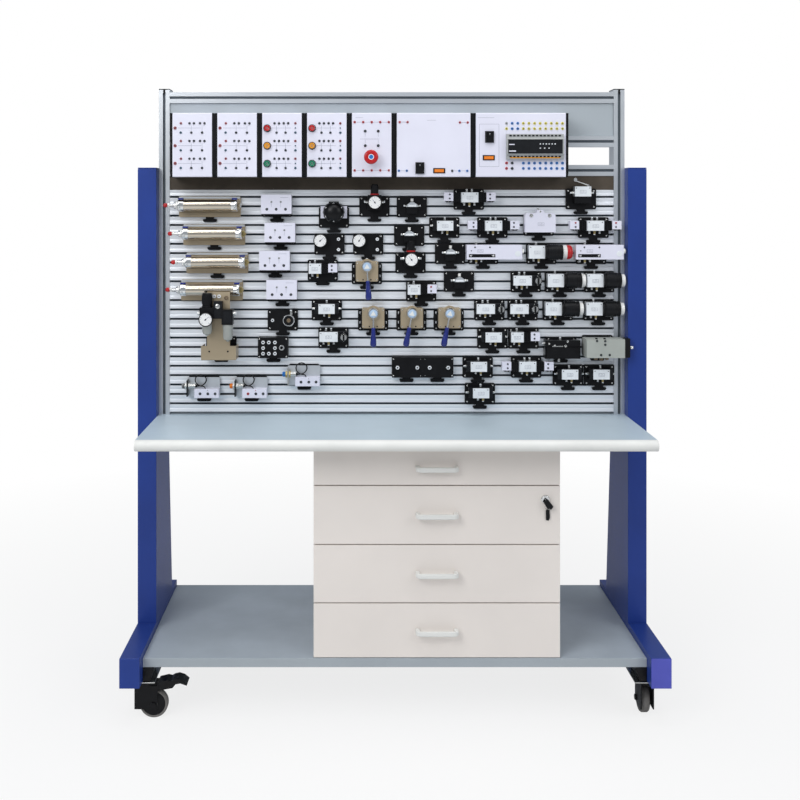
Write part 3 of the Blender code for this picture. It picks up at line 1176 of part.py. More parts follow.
def dome_regulator(planks):
    """A regulator with a large domed knob that faces forward."""
    group, x, z = plate(planks, DOME_PLACE_SHARES)
    z += DOME_LIFT
    face = MOUNT_Y - DOME_BODY_DEPTH
    group.box(around(x, DOME_BODY_WIDTH), (face, MOUNT_Y), around(z, DOME_BODY_HEIGHT))
    neck_z = z + DOME_BODY_HEIGHT / 2 - SINK
    group.box(around(x, DOME_NECK_WIDTH), (face, MOUNT_Y), (neck_z, neck_z + DOME_NECK_HEIGHT))
    back, front = face - FIT, face - DOME_LENGTH
    knob = Solids()
    knob.turned("Y", (x, z), [(0, back), (DOME_RADIUS, back), (DOME_RADIUS, (back + front) / 2),
                              (DOME_RADIUS * 3 / 4, front + DOME_LENGTH / 6), (DOME_RADIUS / 3, front), (0, front)])
    make_object("regulator_knob_3", knob, BLACK, 0.35, 0, (x, back, z))


def service_unit():
    """Filter regulator with gauge and lubricator, on a bracket that stands off the panel."""
    group = Solids()
    x, plate_z = panel_place(UNIT_PLACE_SHARES)
    clip_plate(group, x, plate_z, PLATE_WIDTH, (0,))
    low = plate_z - PLATE_HEIGHT / 2
    front = PANEL_Y - UNIT_PLATE_REACH
    group.box(around(x, UNIT_FOOT_WIDTH), (front, MOUNT_Y), (low, low + UNIT_FOOT_HEIGHT))
    top = low + UNIT_TOP_RISE
    group.box(around(x, UNIT_PLATE_WIDTH), (front, front + UNIT_PLATE_THICKNESS),
              (low + UNIT_FOOT_HEIGHT - SINK, top))
    body_y = (front - UNIT_BODY_DEPTH, front + SINK)
    middle_y = sum(body_y) / 2
    filter_x = x - FILTER_SHIFT
    filter_top = top - FILTER_TOP_DROP
    filter_low = filter_top - FILTER_HEIGHT
    group.box(around(filter_x, FILTER_WIDTH), body_y, (filter_low, filter_top))
    gauge(group, filter_x, filter_low, body_y[0])
    group.disc("Z", (filter_x, middle_y), BOWL_RADIUS, (filter_low - BOWL_HEIGHT, filter_low + SINK))
    link_left = filter_x + FILTER_WIDTH / 2
    group.box((link_left - SINK, link_left + LINK_WIDTH), body_y, (filter_low, filter_low + LINK_HEIGHT))
    lube_left = link_left + LINK_WIDTH
    lube_top = filter_top - FILTER_HEIGHT / 4
    lube_low = lube_top - LUBRICATOR_HEIGHT
    group.box((lube_left - SINK, lube_left + LUBRICATOR_WIDTH), body_y, (lube_low, lube_top))
    group.disc("Z", (lube_left + LUBRICATOR_WIDTH / 2, middle_y), BOWL_RADIUS, (lube_low - BOWL_HEIGHT, lube_low + SINK))
    make_object("service_unit", group, BLACK, 0.4)
    knob = Solids()
    knob.disc("Z", (filter_x, middle_y), FILTER_KNOB_RADIUS, (filter_top + FIT, filter_top + FILTER_KNOB_HEIGHT))
    make_object("filter_knob", knob, BLACK, 0.45, 0, (filter_x, middle_y, filter_top))


def distribution(planks):
    """Socket boxes, ring valve, manifold, port plate, block and counter."""
    for shares in SOCKET_BOX_PLACE_SHARES:
        group, x, z = plate(planks, shares)
        group.box(around(x, PLATE_WIDTH), (MOUNT_Y - SOCKET_BOX_DEPTH, MOUNT_Y),
                  around(z + SOCKET_BOX_LIFT, SOCKET_BOX_HEIGHT))
    group, x, z = plate(planks, RING_PLACE_SHARES)
    group.disc("Y", (x + PLATE_WIDTH / 5, z), RING_RADIUS, (MOUNT_Y - RING_REACH, MOUNT_Y))
    group.disc("Y", (x - PLATE_WIDTH / 3, z), PORT_RADIUS, (MOUNT_Y - PORT_REACH, MOUNT_Y), SMALL_SIDES)
    group, x, z = plate(planks, MANIFOLD_PLACE_SHARES)
    face = MOUNT_Y - MANIFOLD_DEPTH
    group.box(around(x, PLATE_WIDTH), (face, MOUNT_Y), around(z, PLATE_HEIGHT))
    for x_share in MANIFOLD_PORT_SHARES:
        for z_share in MANIFOLD_PORT_SHARES:
            centre = (x + (x_share - 0.5) * PLATE_WIDTH, z + (z_share - 0.5) * PLATE_HEIGHT)
            group.disc("Y", centre, PORT_RADIUS, (face - PORT_REACH, face + SINK), SMALL_SIDES)
    group, x, z = plate(planks, PORT_PLATE_PLACE_SHARES, PORT_PLATE_WIDTH, PORT_PLATE_CLIP_SHARES)
    face = MOUNT_Y - PORT_PLATE_DEPTH
    group.box(around(x, PORT_PLATE_WIDTH), (face, MOUNT_Y), around(z, PLATE_HEIGHT))
    for share in PORT_SHARES:
        centre = (x + (share - 0.5) * PORT_PLATE_WIDTH, z)
        group.disc("Y", centre, PORT_RADIUS, (face - PORT_REACH, face + SINK), SMALL_SIDES)
    group, x, z = plate(planks, BLOCK_PLACE_SHARES)
    group.box(around(x, BLOCK_WIDTH), (MOUNT_Y - BLOCK_DEPTH, MOUNT_Y), around(z, BLOCK_HEIGHT))
    group, x, z = plate(planks, COUNTER_PLACE_SHARES)
    body_y = (MOUNT_Y - COUNTER_DEPTH, MOUNT_Y)
    left = x - PLATE_WIDTH / 2
    end = left + COUNTER_WIDTH
    group.box((left, end), body_y, around(z, COUNTER_HEIGHT))
    cap_end = end + COUNTER_CAP
    cap_y = (body_y[0], sum(body_y) / 2)
    group.box((end - SINK, cap_end), cap_y, around(z, COUNTER_HEIGHT))
    group.disc("X", (sum(cap_y) / 2, z), COUNTER_NUB_RADIUS, (cap_end - SINK, cap_end + COUNTER_NUB_LENGTH), SMALL_SIDES)


def sensors(planks):
    """Sensors held in bent brackets, each with a looped cable to its socket block."""
    for shares in SENSOR_PLACE_SHARES:
        group, x, z = plate(planks, shares)
        low = z - PLATE_HEIGHT / 2
        back = MOUNT_Y - SENSOR_PLATE_THICKNESS
        left, right = around(x, SENSOR_PLATE_WIDTH)
        group.box((left, right), (back, MOUNT_Y), (low, low + SENSOR_PLATE_HEIGHT))
        face_x = (right - SENSOR_FACE_WIDTH, right)
        front = back - SENSOR_FACE_DEPTH
        face_top = low + SENSOR_FACE_HEIGHT
        group.box(face_x, (front, back + SINK), (low, face_top))
        axis = (back - SENSOR_FACE_DEPTH / 2, face_top + SENSOR_RADIUS - 2 * SINK)
        ear_x = (left, left + SENSOR_EAR)
        group.box(ear_x, (front, back + SINK), (low, face_top))
        group.disc("X", axis, SENSOR_RADIUS, (left - SENSOR_LENGTH / 3, left + SENSOR_LENGTH * 2 / 3))
        tail = left + SENSOR_LENGTH * 2 / 3 - SINK
        group.tube(cable_path(tail, axis, face_top), CABLE_RADIUS, CABLE_SIDES)


def cable_path(tail, axis, block_top):
    """The cable leaves the sensor, makes one loop that rises and leans forward, and enters the block."""
    start = Vector((tail, *axis))
    centre = start + Vector((CABLE_LOOP_WIDTH / 2, 0, CABLE_LOOP_HEIGHT))
    path = [start, start + Vector((CABLE_RADIUS * 2, 0, 0))]
    for step in range(CABLE_STEPS):
        turn = step / (CABLE_STEPS - 1)
        angle = -math.pi / 2 + 2 * math.pi * turn
        lean = (turn - 0.5) * CABLE_RADIUS * 4
        path.append(centre + Vector((CABLE_LOOP_WIDTH * math.cos(angle) + CABLE_RADIUS * 4, lean,
                                     CABLE_LOOP_HEIGHT * math.sin(angle))))
    last = path[-1]
    path.append(last + Vector((CABLE_RADIUS * 3, 0, -CABLE_RADIUS)))
    path.append(Vector((last.x + CABLE_RADIUS * 5, last.y, block_top - CABLE_RADIUS)))
    return path


def main():
    clear_scene()
    side_frames()
    worktop_and_shelf()
    panel_frame()
    cabinet()
    casters()
    modules()
    service_unit()
    planks = panel_planks()
    solenoid_valves(planks)
    pilot_valves(planks)
    selector_valves(planks)
    push_valves(planks)
    throttle_valves(planks)
    roller_valve(planks)
    timer_valves(planks)
    lever_valves(planks)
    cylinders(planks)
    regulators(planks)
    distribution(planks)
    sensors(planks)
    for number, plank in enumerate(planks):
        make_object(f"panel_plank_{number + 1}", plank, ALUMINIUM, 0.3, 0.6)


main()
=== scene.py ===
"""Looks of the electro-pneumatic training bench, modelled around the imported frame."""

import math

import bmesh
import bpy
from mathutils import Matrix, Vector


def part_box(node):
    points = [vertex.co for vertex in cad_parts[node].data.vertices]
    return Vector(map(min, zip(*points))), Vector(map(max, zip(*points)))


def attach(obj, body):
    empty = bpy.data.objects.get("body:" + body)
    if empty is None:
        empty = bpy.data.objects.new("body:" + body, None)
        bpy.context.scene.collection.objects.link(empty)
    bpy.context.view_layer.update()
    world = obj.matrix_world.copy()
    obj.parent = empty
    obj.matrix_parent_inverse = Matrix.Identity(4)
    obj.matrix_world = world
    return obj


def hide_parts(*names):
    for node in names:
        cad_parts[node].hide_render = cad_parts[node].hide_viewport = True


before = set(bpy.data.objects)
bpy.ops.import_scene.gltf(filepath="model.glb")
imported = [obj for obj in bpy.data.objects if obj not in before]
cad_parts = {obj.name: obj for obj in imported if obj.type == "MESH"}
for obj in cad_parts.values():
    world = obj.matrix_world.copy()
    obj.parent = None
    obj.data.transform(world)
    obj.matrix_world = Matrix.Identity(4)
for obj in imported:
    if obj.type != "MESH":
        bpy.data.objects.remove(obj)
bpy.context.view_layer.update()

MM = 0.001

# Shared sizes of the frame, in metres
PANEL_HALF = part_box("panel_plank_6")[1][0]
PANEL_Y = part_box("panel_frame")[0][1]
TABLE_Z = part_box("worktop")[1][2]
SLOT_PITCH = 0.028
SLOT_WIDTH = 0.006
SLOT_COUNT = 24
FIRST_SLOT_Z = TABLE_Z + 0.0046 + (SLOT_COUNT - 1) * SLOT_PITCH
TOP_RIB_HEIGHT = 0.0174
PLATE_WIDTH = 0.09
PLATE_HEIGHT = 0.062
PLATE_FRONT = PANEL_Y - 0.0083
PLATE_BACK = PANEL_Y - 0.0003
BENCH = "bench"


def node_in(tree, kind, **values):
    """A shader node with its inputs set; a low line stands for a space in their names."""
    made = tree.nodes.new("ShaderNode" + kind)
    for name, value in values.items():
        made.inputs[name.replace("_", " ")].default_value = value
    return made


def surface(name, colour, roughness, metallic=0.0, mottle=0.06, scale=18.0, grain=220.0, bump=0.05,
        stretch=(1, 1, 1), coat=0.0, edge_lightening=0.0, specular=0.3):
    """A finish whose colour, roughness and relief vary over the surface."""
    material = bpy.data.materials.new(name)
    material.use_nodes = True
    tree = material.node_tree
    join = tree.links.new
    shader = tree.nodes["Principled BSDF"]
    shader.inputs["Metallic"].default_value = metallic
    shader.inputs["Coat Weight"].default_value = coat
    shader.inputs["Specular IOR Level"].default_value = specular
    mapping = node_in(tree, "Mapping", Scale=stretch)
    join(node_in(tree, "TexCoord").outputs["Object"], mapping.inputs["Vector"])
    broad = node_in(tree, "TexNoise", Scale=scale, Detail=5)
    fine = node_in(tree, "TexNoise", Scale=grain, Detail=3)
    for noise in (broad, fine):
        join(mapping.outputs["Vector"], noise.inputs["Vector"])
    ramp = node_in(tree, "ValToRGB")
    ends = ((0.3, 1 - mottle), (0.7, 1 + mottle))
    for element, (position, share) in zip(ramp.color_ramp.elements, ends):
        element.position = position
        element.color = (*[min(c * share, 1) for c in colour], 1)
    join(broad.outputs["Fac"], ramp.inputs["Fac"])
    paint = ramp.outputs["Color"]
    # Sharp convex edges are lighter, by the share given.
    if edge_lightening:
        edge = node_in(tree, "MapRange", From_Min=0.52, From_Max=0.62, To_Max=edge_lightening)
        join(node_in(tree, "NewGeometry").outputs["Pointiness"], edge.inputs["Value"])
        lightened_edges = node_in(tree, "Mix")
        lightened_edges.data_type = "RGBA"
        lightened_edges.inputs["B"].default_value = (*[min(c * 1.6 + 0.12, 1) for c in colour], 1)
        join(edge.outputs["Result"], lightened_edges.inputs["Factor"])
        join(paint, lightened_edges.inputs["A"])
        paint = lightened_edges.outputs["Result"]
    join(paint, shader.inputs["Base Color"])
    gloss = node_in(tree, "MapRange", To_Min=max(roughness - 0.06, 0.02), To_Max=roughness + 0.08)
    join(fine.outputs["Fac"], gloss.inputs["Value"])
    join(gloss.outputs["Result"], shader.inputs["Roughness"])
    relief = node_in(tree, "Bump", Strength=bump, Distance=0.0005)
    join(fine.outputs["Fac"], relief.inputs["Height"])
    join(relief.outputs["Normal"], shader.inputs["Normal"])
    return material


FINISHES = {
    "blue": surface("blue_powder_coat", (0.004, 0.03, 0.21), 0.36, 0, 0.1, 6, 500, 0.1, edge_lightening=0.2, specular=0.25),
    # A lighter blue, used only on the right foot's front end.
    "violet": surface("lighter_blue_right_foot_end", (0.085, 0.095, 0.46), 0.4, 0, 0.1, 8, 500, 0.08),
    "table": surface("worktop_laminate", (0.46, 0.55, 0.61), 0.38, 0, 0.05, 5, 700, 0.05),
    "cream": surface("worktop_edge", (0.76, 0.76, 0.73), 0.4, 0, 0.04, 9, 400, 0.05),
    "shelf": surface("shelf_laminate", (0.4, 0.45, 0.5), 0.45, 0, 0.08, 7, 600, 0.06),
    "white": surface("cabinet_laminate", (0.8, 0.74, 0.69), 0.42, 0, 0.03, 4, 650, 0.06),
    "tray": surface("drawer_board", (0.56, 0.54, 0.5), 0.6, 0, 0.06, 12, 400, 0.08),
    "silver": surface("anodised_profile", (0.64, 0.67, 0.7), 0.3, 0.75, 0.05, 6, 90, 0.04, (0.05, 1, 1)),
    # Painted shade: the dark inside grooves, behind slots and at the bottom of socket holes.
    "groove": surface("groove_shade", (0.12, 0.14, 0.16), 0.55, 0.4, 0.1, 9, 200, 0.05),
    "sheet": surface("grey_back_sheet", (0.38, 0.42, 0.45), 0.45, 0.1, 0.05, 4, 400, 0.04),
    "plate": surface("black_plate", (0.006, 0.006, 0.007), 0.4, 0, 0.25, 30, 900, 0.12, specular=0.16),
    "black": surface("black_plastic", (0.005, 0.005, 0.006), 0.3, 0, 0.2, 25, 900, 0.08, specular=0.22),
    "coil": surface("coil_rubber", (0.009, 0.01, 0.012), 0.5, 0, 0.2, 60, 600, 0.15, specular=0.16),
    "label": surface("label_plate", (0.74, 0.77, 0.8), 0.35, 0, 0.05, 40, 500, 0.05),
    "case": surface("case_white", (0.7, 0.7, 0.8), 0.36, 0, 0.03, 8, 600, 0.05),
    "print": surface("printed_line", (0.18, 0.2, 0.26), 0.5, 0, 0.1, 60, 500, 0.03),
    "steel": surface("bright_steel", (0.62, 0.62, 0.6), 0.2, 1.0, 0.08, 30, 160, 0.05, (0.2, 1, 1)),
    "chrome": surface("chrome", (0.78, 0.78, 0.77), 0.08, 1.0, 0.04, 30, 300, 0.02),
    "brass": surface("yellow_chromate", (0.48, 0.38, 0.17), 0.32, 0.9, 0.15, 60, 300, 0.05),
    "red": surface("red_plastic", (0.43, 0.01, 0.012), 0.25, 0, 0.08, 40, 500, 0.04, coat=0.3),
    "amber": surface("amber_plastic", (0.64, 0.26, 0.015), 0.25, 0, 0.08, 40, 500, 0.04, coat=0.3),
    "green": surface("green_plastic", (0.008, 0.17, 0.09), 0.25, 0, 0.08, 40, 500, 0.04, coat=0.3),
    "cyan": surface("blue_socket", (0.02, 0.16, 0.48), 0.3, 0, 0.1, 40, 500, 0.05),
    "lemon": surface("yellow_terminal", (0.64, 0.56, 0.06), 0.35, 0, 0.08, 40, 500, 0.05),
    "orange": surface("orange_lens", (0.76, 0.2, 0.02), 0.22, 0, 0.08, 40, 500, 0.04, coat=0.4),
    "navy": surface("dark_blue_grip", (0.01, 0.02, 0.17), 0.18, 0, 0.15, 30, 500, 0.04, coat=0.6),
    "knob": surface("pale_button", (0.74, 0.74, 0.72), 0.28, 0, 0.04, 40, 500, 0.04, coat=0.2),
    "tread": surface("grey_tread", (0.18, 0.17, 0.16), 0.7, 0, 0.15, 60, 800, 0.25),
    "grey": surface("grey_case", (0.33, 0.34, 0.34), 0.45, 0, 0.06, 20, 600, 0.1),
    "tan": surface("wound_fitting", (0.2, 0.15, 0.1), 0.5, 0.3, 0.3, 90, 400, 0.2),
    "bowl": surface("clear_bowl", (0.3, 0.31, 0.29), 0.12, 0, 0.2, 20, 200, 0.03, coat=0.6),
    "dial": surface("dial_face", (0.8, 0.8, 0.79), 0.35, 0, 0.03, 60, 500, 0.03),
    # Partly painted reflection and shade: on the cylinders' plates this warm tone stands for plain silver metal
    # reflecting the table and darkened below.
    "champagne": surface("warm_metal_and_painted_reflection", (0.43, 0.35, 0.24), 0.34, 0.45, 0.1, 10, 200, 0.05, (0.2, 1, 1)),
    # Painted reflection: the warm tint stands for the surroundings reflected in a plain metal tube.
    "barrel": surface("barrel_painted_reflection", (0.64, 0.57, 0.47), 0.16, 1.0, 0.06, 10, 160, 0.03, (0.1, 1, 1)),
    "stone": surface("grey_green_case", (0.37, 0.39, 0.36), 0.45, 0, 0.06, 20, 600, 0.1),
    "rib": surface("slotted_rib", (0.8, 0.83, 0.87), 0.35, 0.3, 0.03, 6, 120, 0.03, (0.05, 1, 1)),
    # Painted shade: the dark colour of the electric boxes' undersides and of the strip beneath them.
    "painted_shade": surface("underside_shade", (0.07, 0.055, 0.04), 0.6, 0, 0.15, 20, 300, 0.05),
    "dusk": surface("dull_red_socket", (0.28, 0.025, 0.028), 0.4, 0, 0.1, 40, 500, 0.05),
    "teal": surface("dark_teal_socket", (0.03, 0.09, 0.14), 0.4, 0, 0.1, 40, 500, 0.05),
    "ice": surface("lever_dial", (0.42, 0.56, 0.74), 0.28, 0, 0.08, 60, 500, 0.03, coat=0.3),
}


def spread(axis, pair, along):
    first, second = pair
    if axis == "X":
        return (along, first, second)
    if axis == "Y":
        return (first, along, second)
    return (first, second, along)


def around(centre, size):
    return (centre - size / 2, centre + size / 2)


def ring(centre, radius, sides):
    turn = 2 * math.pi / sides
    return [(centre[0] + radius * math.cos(i * turn), centre[1] + radius * math.sin(i * turn))
        for i in range(sides)]


def shifted(first, second, points):
    """An outline given in millimetres from a point."""
    return [(first + a * MM, second + b * MM) for a, b in points]


def soften(obj, width, segments):
    """Rounded edges wherever a shape turns sharply."""
    soft = obj.modifiers.new("edges", "BEVEL")
    soft.width = width
    soft.segments = segments
    soft.limit_method = "ANGLE"
    soft.angle_limit = math.radians(40)
    return soft


class Piece:
    """Closed shapes of several finishes, made into one bevelled object that rides on a body."""

    def __init__(self, name, bevel=0.0006):
        self.name = name
        self.bevel = bevel
        self.mesh = bmesh.new()
        self.finishes = []

    def add(self, finish, points, faces, smooth=False):
        if finish not in self.finishes:
            self.finishes.append(finish)
        start = len(self.mesh.verts)
        for point in points:
            self.mesh.verts.new(point)
        self.mesh.verts.ensure_lookup_table()
        for face in faces:
            made = self.mesh.faces.new([self.mesh.verts[start + i] for i in face])
            made.material_index = self.finishes.index(finish)
            made.smooth = smooth

    def prism(self, finish, axis, outline, ends):
        count = len(outline)
        points = [spread(axis, point, end) for end in ends for point in outline]
        faces = [list(range(count)), list(range(count, 2 * count))]
        faces += [(i, (i + 1) % count, count + (i + 1) % count, count + i) for i in range(count)]
        self.add(finish, points, faces)

    def box(self, finish, x, y, z):
        self.prism(finish, "Z", [(x[0], y[0]), (x[1], y[0]), (x[1], y[1]), (x[0], y[1])], z)

    def lathe(self, finish, axis, centre, profile, sides=28):
        """A profile of (radius, place along the axis) turned about the axis."""
        points, rings = [], []
        for radius, along in profile:
            flat = [tuple(centre)] if radius == 0 else ring(centre, radius, sides)
            rings.append(list(range(len(points), len(points) + len(flat))))
            points += [spread(axis, point, along) for point in flat]
        faces = []
        follow = rings[1:] if profile[0][0] == 0 else rings[1:] + rings[:1]
        for first, second in zip(rings, follow):
            for i in range(sides):
                j = (i + 1) % sides
                corners = [first[i % len(first)], first[j % len(first)], second[j % len(second)],
                    second[i % len(second)]]
                faces.append(list(dict.fromkeys(corners)))
        self.add(finish, points, faces)

    def disc(self, finish, axis, centre, radius, ends, sides=24):
        self.lathe(finish, axis, centre, [(0, ends[0]), (radius, ends[0]), (radius, ends[1]),
            (0, ends[1])], sides)

    def sleeve(self, finish, axis, centre, radii, ends, sides=28):
        self.lathe(finish, axis, centre, [(radii[0], ends[0]), (radii[1], ends[0]),
            (radii[1], ends[1]), (radii[0], ends[1])], sides)

    def turned(self, finish, axis, centre, base, profile, sides=28):
        """A lathe shape in millimetres: (radius, distance from the base along the axis)."""
        self.lathe(finish, axis, centre, [(r * MM, base + along * MM) for r, along in profile],
            sides)

    def tube(self, finish, path, radius, sides=10):
        points, rings = [], []
        for i, point in enumerate(path):
            ahead = path[min(i + 1, len(path) - 1)] - path[max(i - 1, 0)]
            side = ahead.cross(Vector((0, 1, 0.01))).normalized()
            lift = side.cross(ahead).normalized()
            rings.append(list(range(len(points), len(points) + sides)))
            for k in range(sides):
                angle = 2 * math.pi * k / sides
                points.append(point + radius * (math.cos(angle) * side + math.sin(angle) * lift))
        faces = [rings[0], rings[-1]]
        for first, second in zip(rings, rings[1:]):
            faces += [(first[k], first[(k + 1) % sides], second[(k + 1) % sides], second[k])
                for k in range(sides)]
        self.add(finish, points, faces)

    def done(self, slot, body=BENCH, replaces=()):
        bmesh.ops.recalc_face_normals(self.mesh, faces=self.mesh.faces[:])
        mesh = bpy.data.meshes.new(self.name)
        self.mesh.to_mesh(mesh)
        self.mesh.free()
        for finish in self.finishes:
            mesh.materials.append(FINISHES[finish])
        mesh.shade_smooth()
        mesh.set_sharp_from_angle(angle=math.radians(40))
        obj = bpy.data.objects.new(self.name, mesh)
        bpy.context.scene.collection.objects.link(obj)
        if self.bevel:
            soften(obj, self.bevel, 2).harden_normals = True
        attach(obj, body)
        if replaces:
            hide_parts(*replaces)
        return obj


def box_of(node):
    """Ends of a CAD node's box along X, Y and Z."""
    low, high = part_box(node)
    return [(low[i], high[i]) for i in range(3)]


def restyle(node, finish, bevel=0.0):
    """Give a CAD node that keeps its shape a finish and softened edges."""
    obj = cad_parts[node]
    obj.data.materials.clear()
    obj.data.materials.append(FINISHES[finish])
    if bevel:
        soften(obj, bevel, 3)


def side_frames():
    """Columns and feet in blue, the feet's front ends capped, black caster brackets."""
    for side, side_name in ((-1, "left"), (1, "right")):
        node = f"side_frame_{side_name}"
        y_ends, z_ends = box_of(node)[1:]
        outer, inner = side * 0.75, side * 0.695
        foot_low, foot_top, front = 0.1162, 0.1977, y_ends[0]
        x = sorted((inner, outer))
        posts = Piece(f"side_frame_{side_name}_painted", 0.0025)
        posts.prism("blue", "X", [(-0.021, foot_top - 0.0005), (0.259, foot_top - 0.0005),
            (0.099, z_ends[1] - 0.004), (-0.021, z_ends[1] - 0.004)], x)
        posts.box("blue", x, (front + 0.003, y_ends[1] - 0.003), (foot_low, foot_top))
        # Only the right foot's front end is a lighter blue; the left one keeps the frame's blue.
        posts.box("violet" if side > 0 else "blue", x, (front, front + 0.0025),
            (foot_low, foot_top))
        posts.box("blue", x, (y_ends[1] - 0.0025, y_ends[1]), (foot_low, foot_top))
        posts.box("blue", x, (-0.021, 0.099), (z_ends[1] - 0.0035, z_ends[1]))
        posts.done("blue_paint", replaces=[node])
        mounts = Piece(f"caster_brackets_{side_name}", 0.0008)
        gusset = [(side * 0.6948, foot_low), (side * 0.6948, 0.1549), (side * 0.6635, 0.1549),
            (side * 0.675, foot_low)]
        for y in (-0.183, 0.26):
            mounts.prism("black", "Y", gusset, around(y, 0.09))
            mounts.box("steel", around(side * 0.703, 0.085), around(y, 0.1), (0.1132, 0.1161))
            for dx in (-0.03, 0.03):
                for dy in (-0.038, 0.038):
                    mounts.disc("steel", "Z", (side * 0.703 + dx, y + dy), 0.0055, (0.11, 0.1132),
                        6)
        mounts.done("black_metal")


def boards():
    """Worktop with its cream edge, and the shelf with a paler front edge."""
    x_ends, y_ends, z_ends = box_of("worktop")
    top = Piece("worktop_board", 0.0005)
    nose = y_ends[0] + 0.015
    top.box("table", x_ends, (nose + 0.004, y_ends[1]), (z_ends[0] + 0.0008, z_ends[1]))
    top.box("cream", x_ends, (nose + 0.004, y_ends[1]), (z_ends[0], z_ends[0] + 0.0006))
    arc = [(nose + 0.015 * math.cos(a), z_ends[0] + 0.015 + 0.015 * math.sin(a))
        for a in [math.pi / 2 + math.pi * i / 16 for i in range(17)]]
    top.prism("cream", "X", arc + [(nose + 0.0037, z_ends[0]), (nose + 0.0037, z_ends[1])], x_ends)
    top.done("grey_board", replaces=["worktop"])
    x_ends, y_ends, z_ends = box_of("base_shelf")
    shelf = Piece("base_shelf_board", 0.0012)
    shelf.box("shelf", x_ends, (y_ends[0] + 0.002, y_ends[1]), z_ends)
    shelf.box("sheet", x_ends, (y_ends[0], y_ends[0] + 0.0018), z_ends)
    shelf.done("grey_board", replaces=["base_shelf"])


def cabinet():
    """Carcass in laminate, and drawers with softened fronts, open trays and bow handles."""
    restyle("cabinet_carcass", "white", 0.0008)
    rises = (0.41, 0.51, 0.51, 0.5)
    for number in range(1, 5):
        node = f"drawer_{number}"
        x, y, z = box_of(node)
        front_y = -0.225
        piece = Piece(f"{node}_laminated", 0.0015)
        piece.box("white", x, (front_y, front_y + 0.018), z)
        low, high = z[0] - 0.0015 + 0.02, z[1] + 0.0015 - 0.02
        near, far = front_y + 0.0175, y[1]
        left, right = x[0] + 0.015 + 0.0128, x[1] - 0.015 - 0.0128
        piece.box("tray", (left, right), (near, far), (low, low + 0.01))
        for side in ((left, left + 0.01), (right - 0.01, right)):
            piece.box("tray", side, (near, far), (low + 0.0095, high))
        for side in ((near, near + 0.01), (far - 0.01, far)):
            piece.box("tray", (left + 0.0095, right - 0.0095), side, (low + 0.0095, high))
        for side in (-1, 1):
            rail = (left - 0.0004, left + 0.0006) if side < 0 else (right - 0.0006, right + 0.0004)
            piece.box("steel", rail, (near + 0.02, far), around((low + high) / 2, 0.012))
        middle = (x[0] + x[1]) / 2
        handle_z = z[0] - 0.0015 + rises[number - 1] * (z[1] - z[0] + 0.003)
        bow = Piece(f"{node}_handle", 0.003)
        reach = front_y - y[0]
        outline = [(-0.059, 0.0), (-0.059, -reach + 0.01), (-0.052, -reach + 0.003),
            (-0.045, -reach), (0.045, -reach), (0.052, -reach + 0.003), (0.059, -reach + 0.01),
            (0.059, 0.0), (0.047, 0.0), (0.047, -reach + 0.0095), (0.042, -reach + 0.008),
            (-0.042, -reach + 0.008), (-0.047, -reach + 0.0095), (-0.047, 0.0)]
        bow.prism("cream", "Z", [(middle + a, front_y + b) for a, b in outline],
            around(handle_z, 0.014))
        bow.done("white_board", node)
        piece.done("white_board", node, [node])
    lock = Piece("drawer_lock", 0.0006)
    centre = (0.4152, 0.6178)
    lock.turned("chrome", "Y", centre, 0, [(0, -224.9), (12.5, -224.9), (12.5, -228.5),
        (10.5, -230.8), (0, -230.8)])
    lock.done("white_board", "drawer_2")
    key = Piece("key_in_lock", 0.0007)
    key.box("steel", around(centre[0], 0.003), (-0.2376, -0.2312), around(centre[1], 0.003))
    bow = [(0.0, 0.004), (0.01, -0.003), (0.02, -0.017), (0.0135, -0.025), (0.002, -0.02),
        (-0.007, -0.006)]
    key.prism("black", "Y", [(centre[0] + a, centre[1] + b) for a, b in bow], (-0.2402, -0.237))
    key.done("black_plastic", "lock_key", ["lock_key"])
    spare = Piece("spare_key", 0.0007)
    tag = [(0.006, -0.024), (0.011, -0.026), (0.012, -0.05), (0.008, -0.058), (0.001, -0.056),
        (0.001, -0.03)]
    spare.prism("black", "Y", [(centre[0] + a, centre[1] + b) for a, b in tag], (-0.23, -0.2262))
    spare.sleeve("steel", "Y", (centre[0] + 0.005, centre[1] - 0.02), (0.0062, 0.0075),
        (-0.231, -0.2295))
    spare.done("black_plastic", "drawer_2")


def casters():
    """Pressed forks, treaded wheels with hubs, and brake pedals."""
    for node in ("caster_fork_front_left", "caster_fork_front_right", "caster_fork_rear_left",
            "caster_fork_rear_right"):
        restyle(node, "black", 0.0008)
    for node in ("brake_pedal_left", "brake_pedal_right"):
        restyle(node, "black", 0.0012)
    for node in ("caster_wheel_front_left", "caster_wheel_front_right", "caster_wheel_rear_left",
            "caster_wheel_rear_right"):
        x, y, z = box_of(node)
        axis = "Y" if node.endswith("front_left") else "X"
        across = y if axis == "Y" else x
        other = x if axis == "Y" else y
        middle, half = sum(across) / 2, (across[1] - across[0]) / 2
        centre, radius = (sum(other) / 2, sum(z) / 2), (z[1] - z[0]) / 2
        wheel = Piece(f"{node}_treaded", 0.0006)
        wheel.lathe("tread", axis, centre, [(radius - 0.007, middle - half + 0.002),
            (radius - 0.003, middle - half + 0.001), (radius, middle - half + 0.005),
            (radius, middle + half - 0.005), (radius - 0.003, middle + half - 0.001),
            (radius - 0.007, middle + half - 0.002)], 56)
        wheel.lathe("black", axis, centre, [(0.0046, middle - half),
            (radius - 0.0115, middle - half), (radius - 0.0072, middle - half + 0.003),
            (radius - 0.0072, middle + half - 0.003), (radius - 0.0115, middle + half),
            (0.0046, middle + half)], 48)
        for side in (-1, 1):
            ends = sorted((middle + side * (half - 0.001), middle + side * (half + 0.0008)))
            wheel.sleeve("steel", axis, centre, (0.0048, 0.012), (ends[0], ends[1]))
        wheel.done("grey_tread", node, [node])


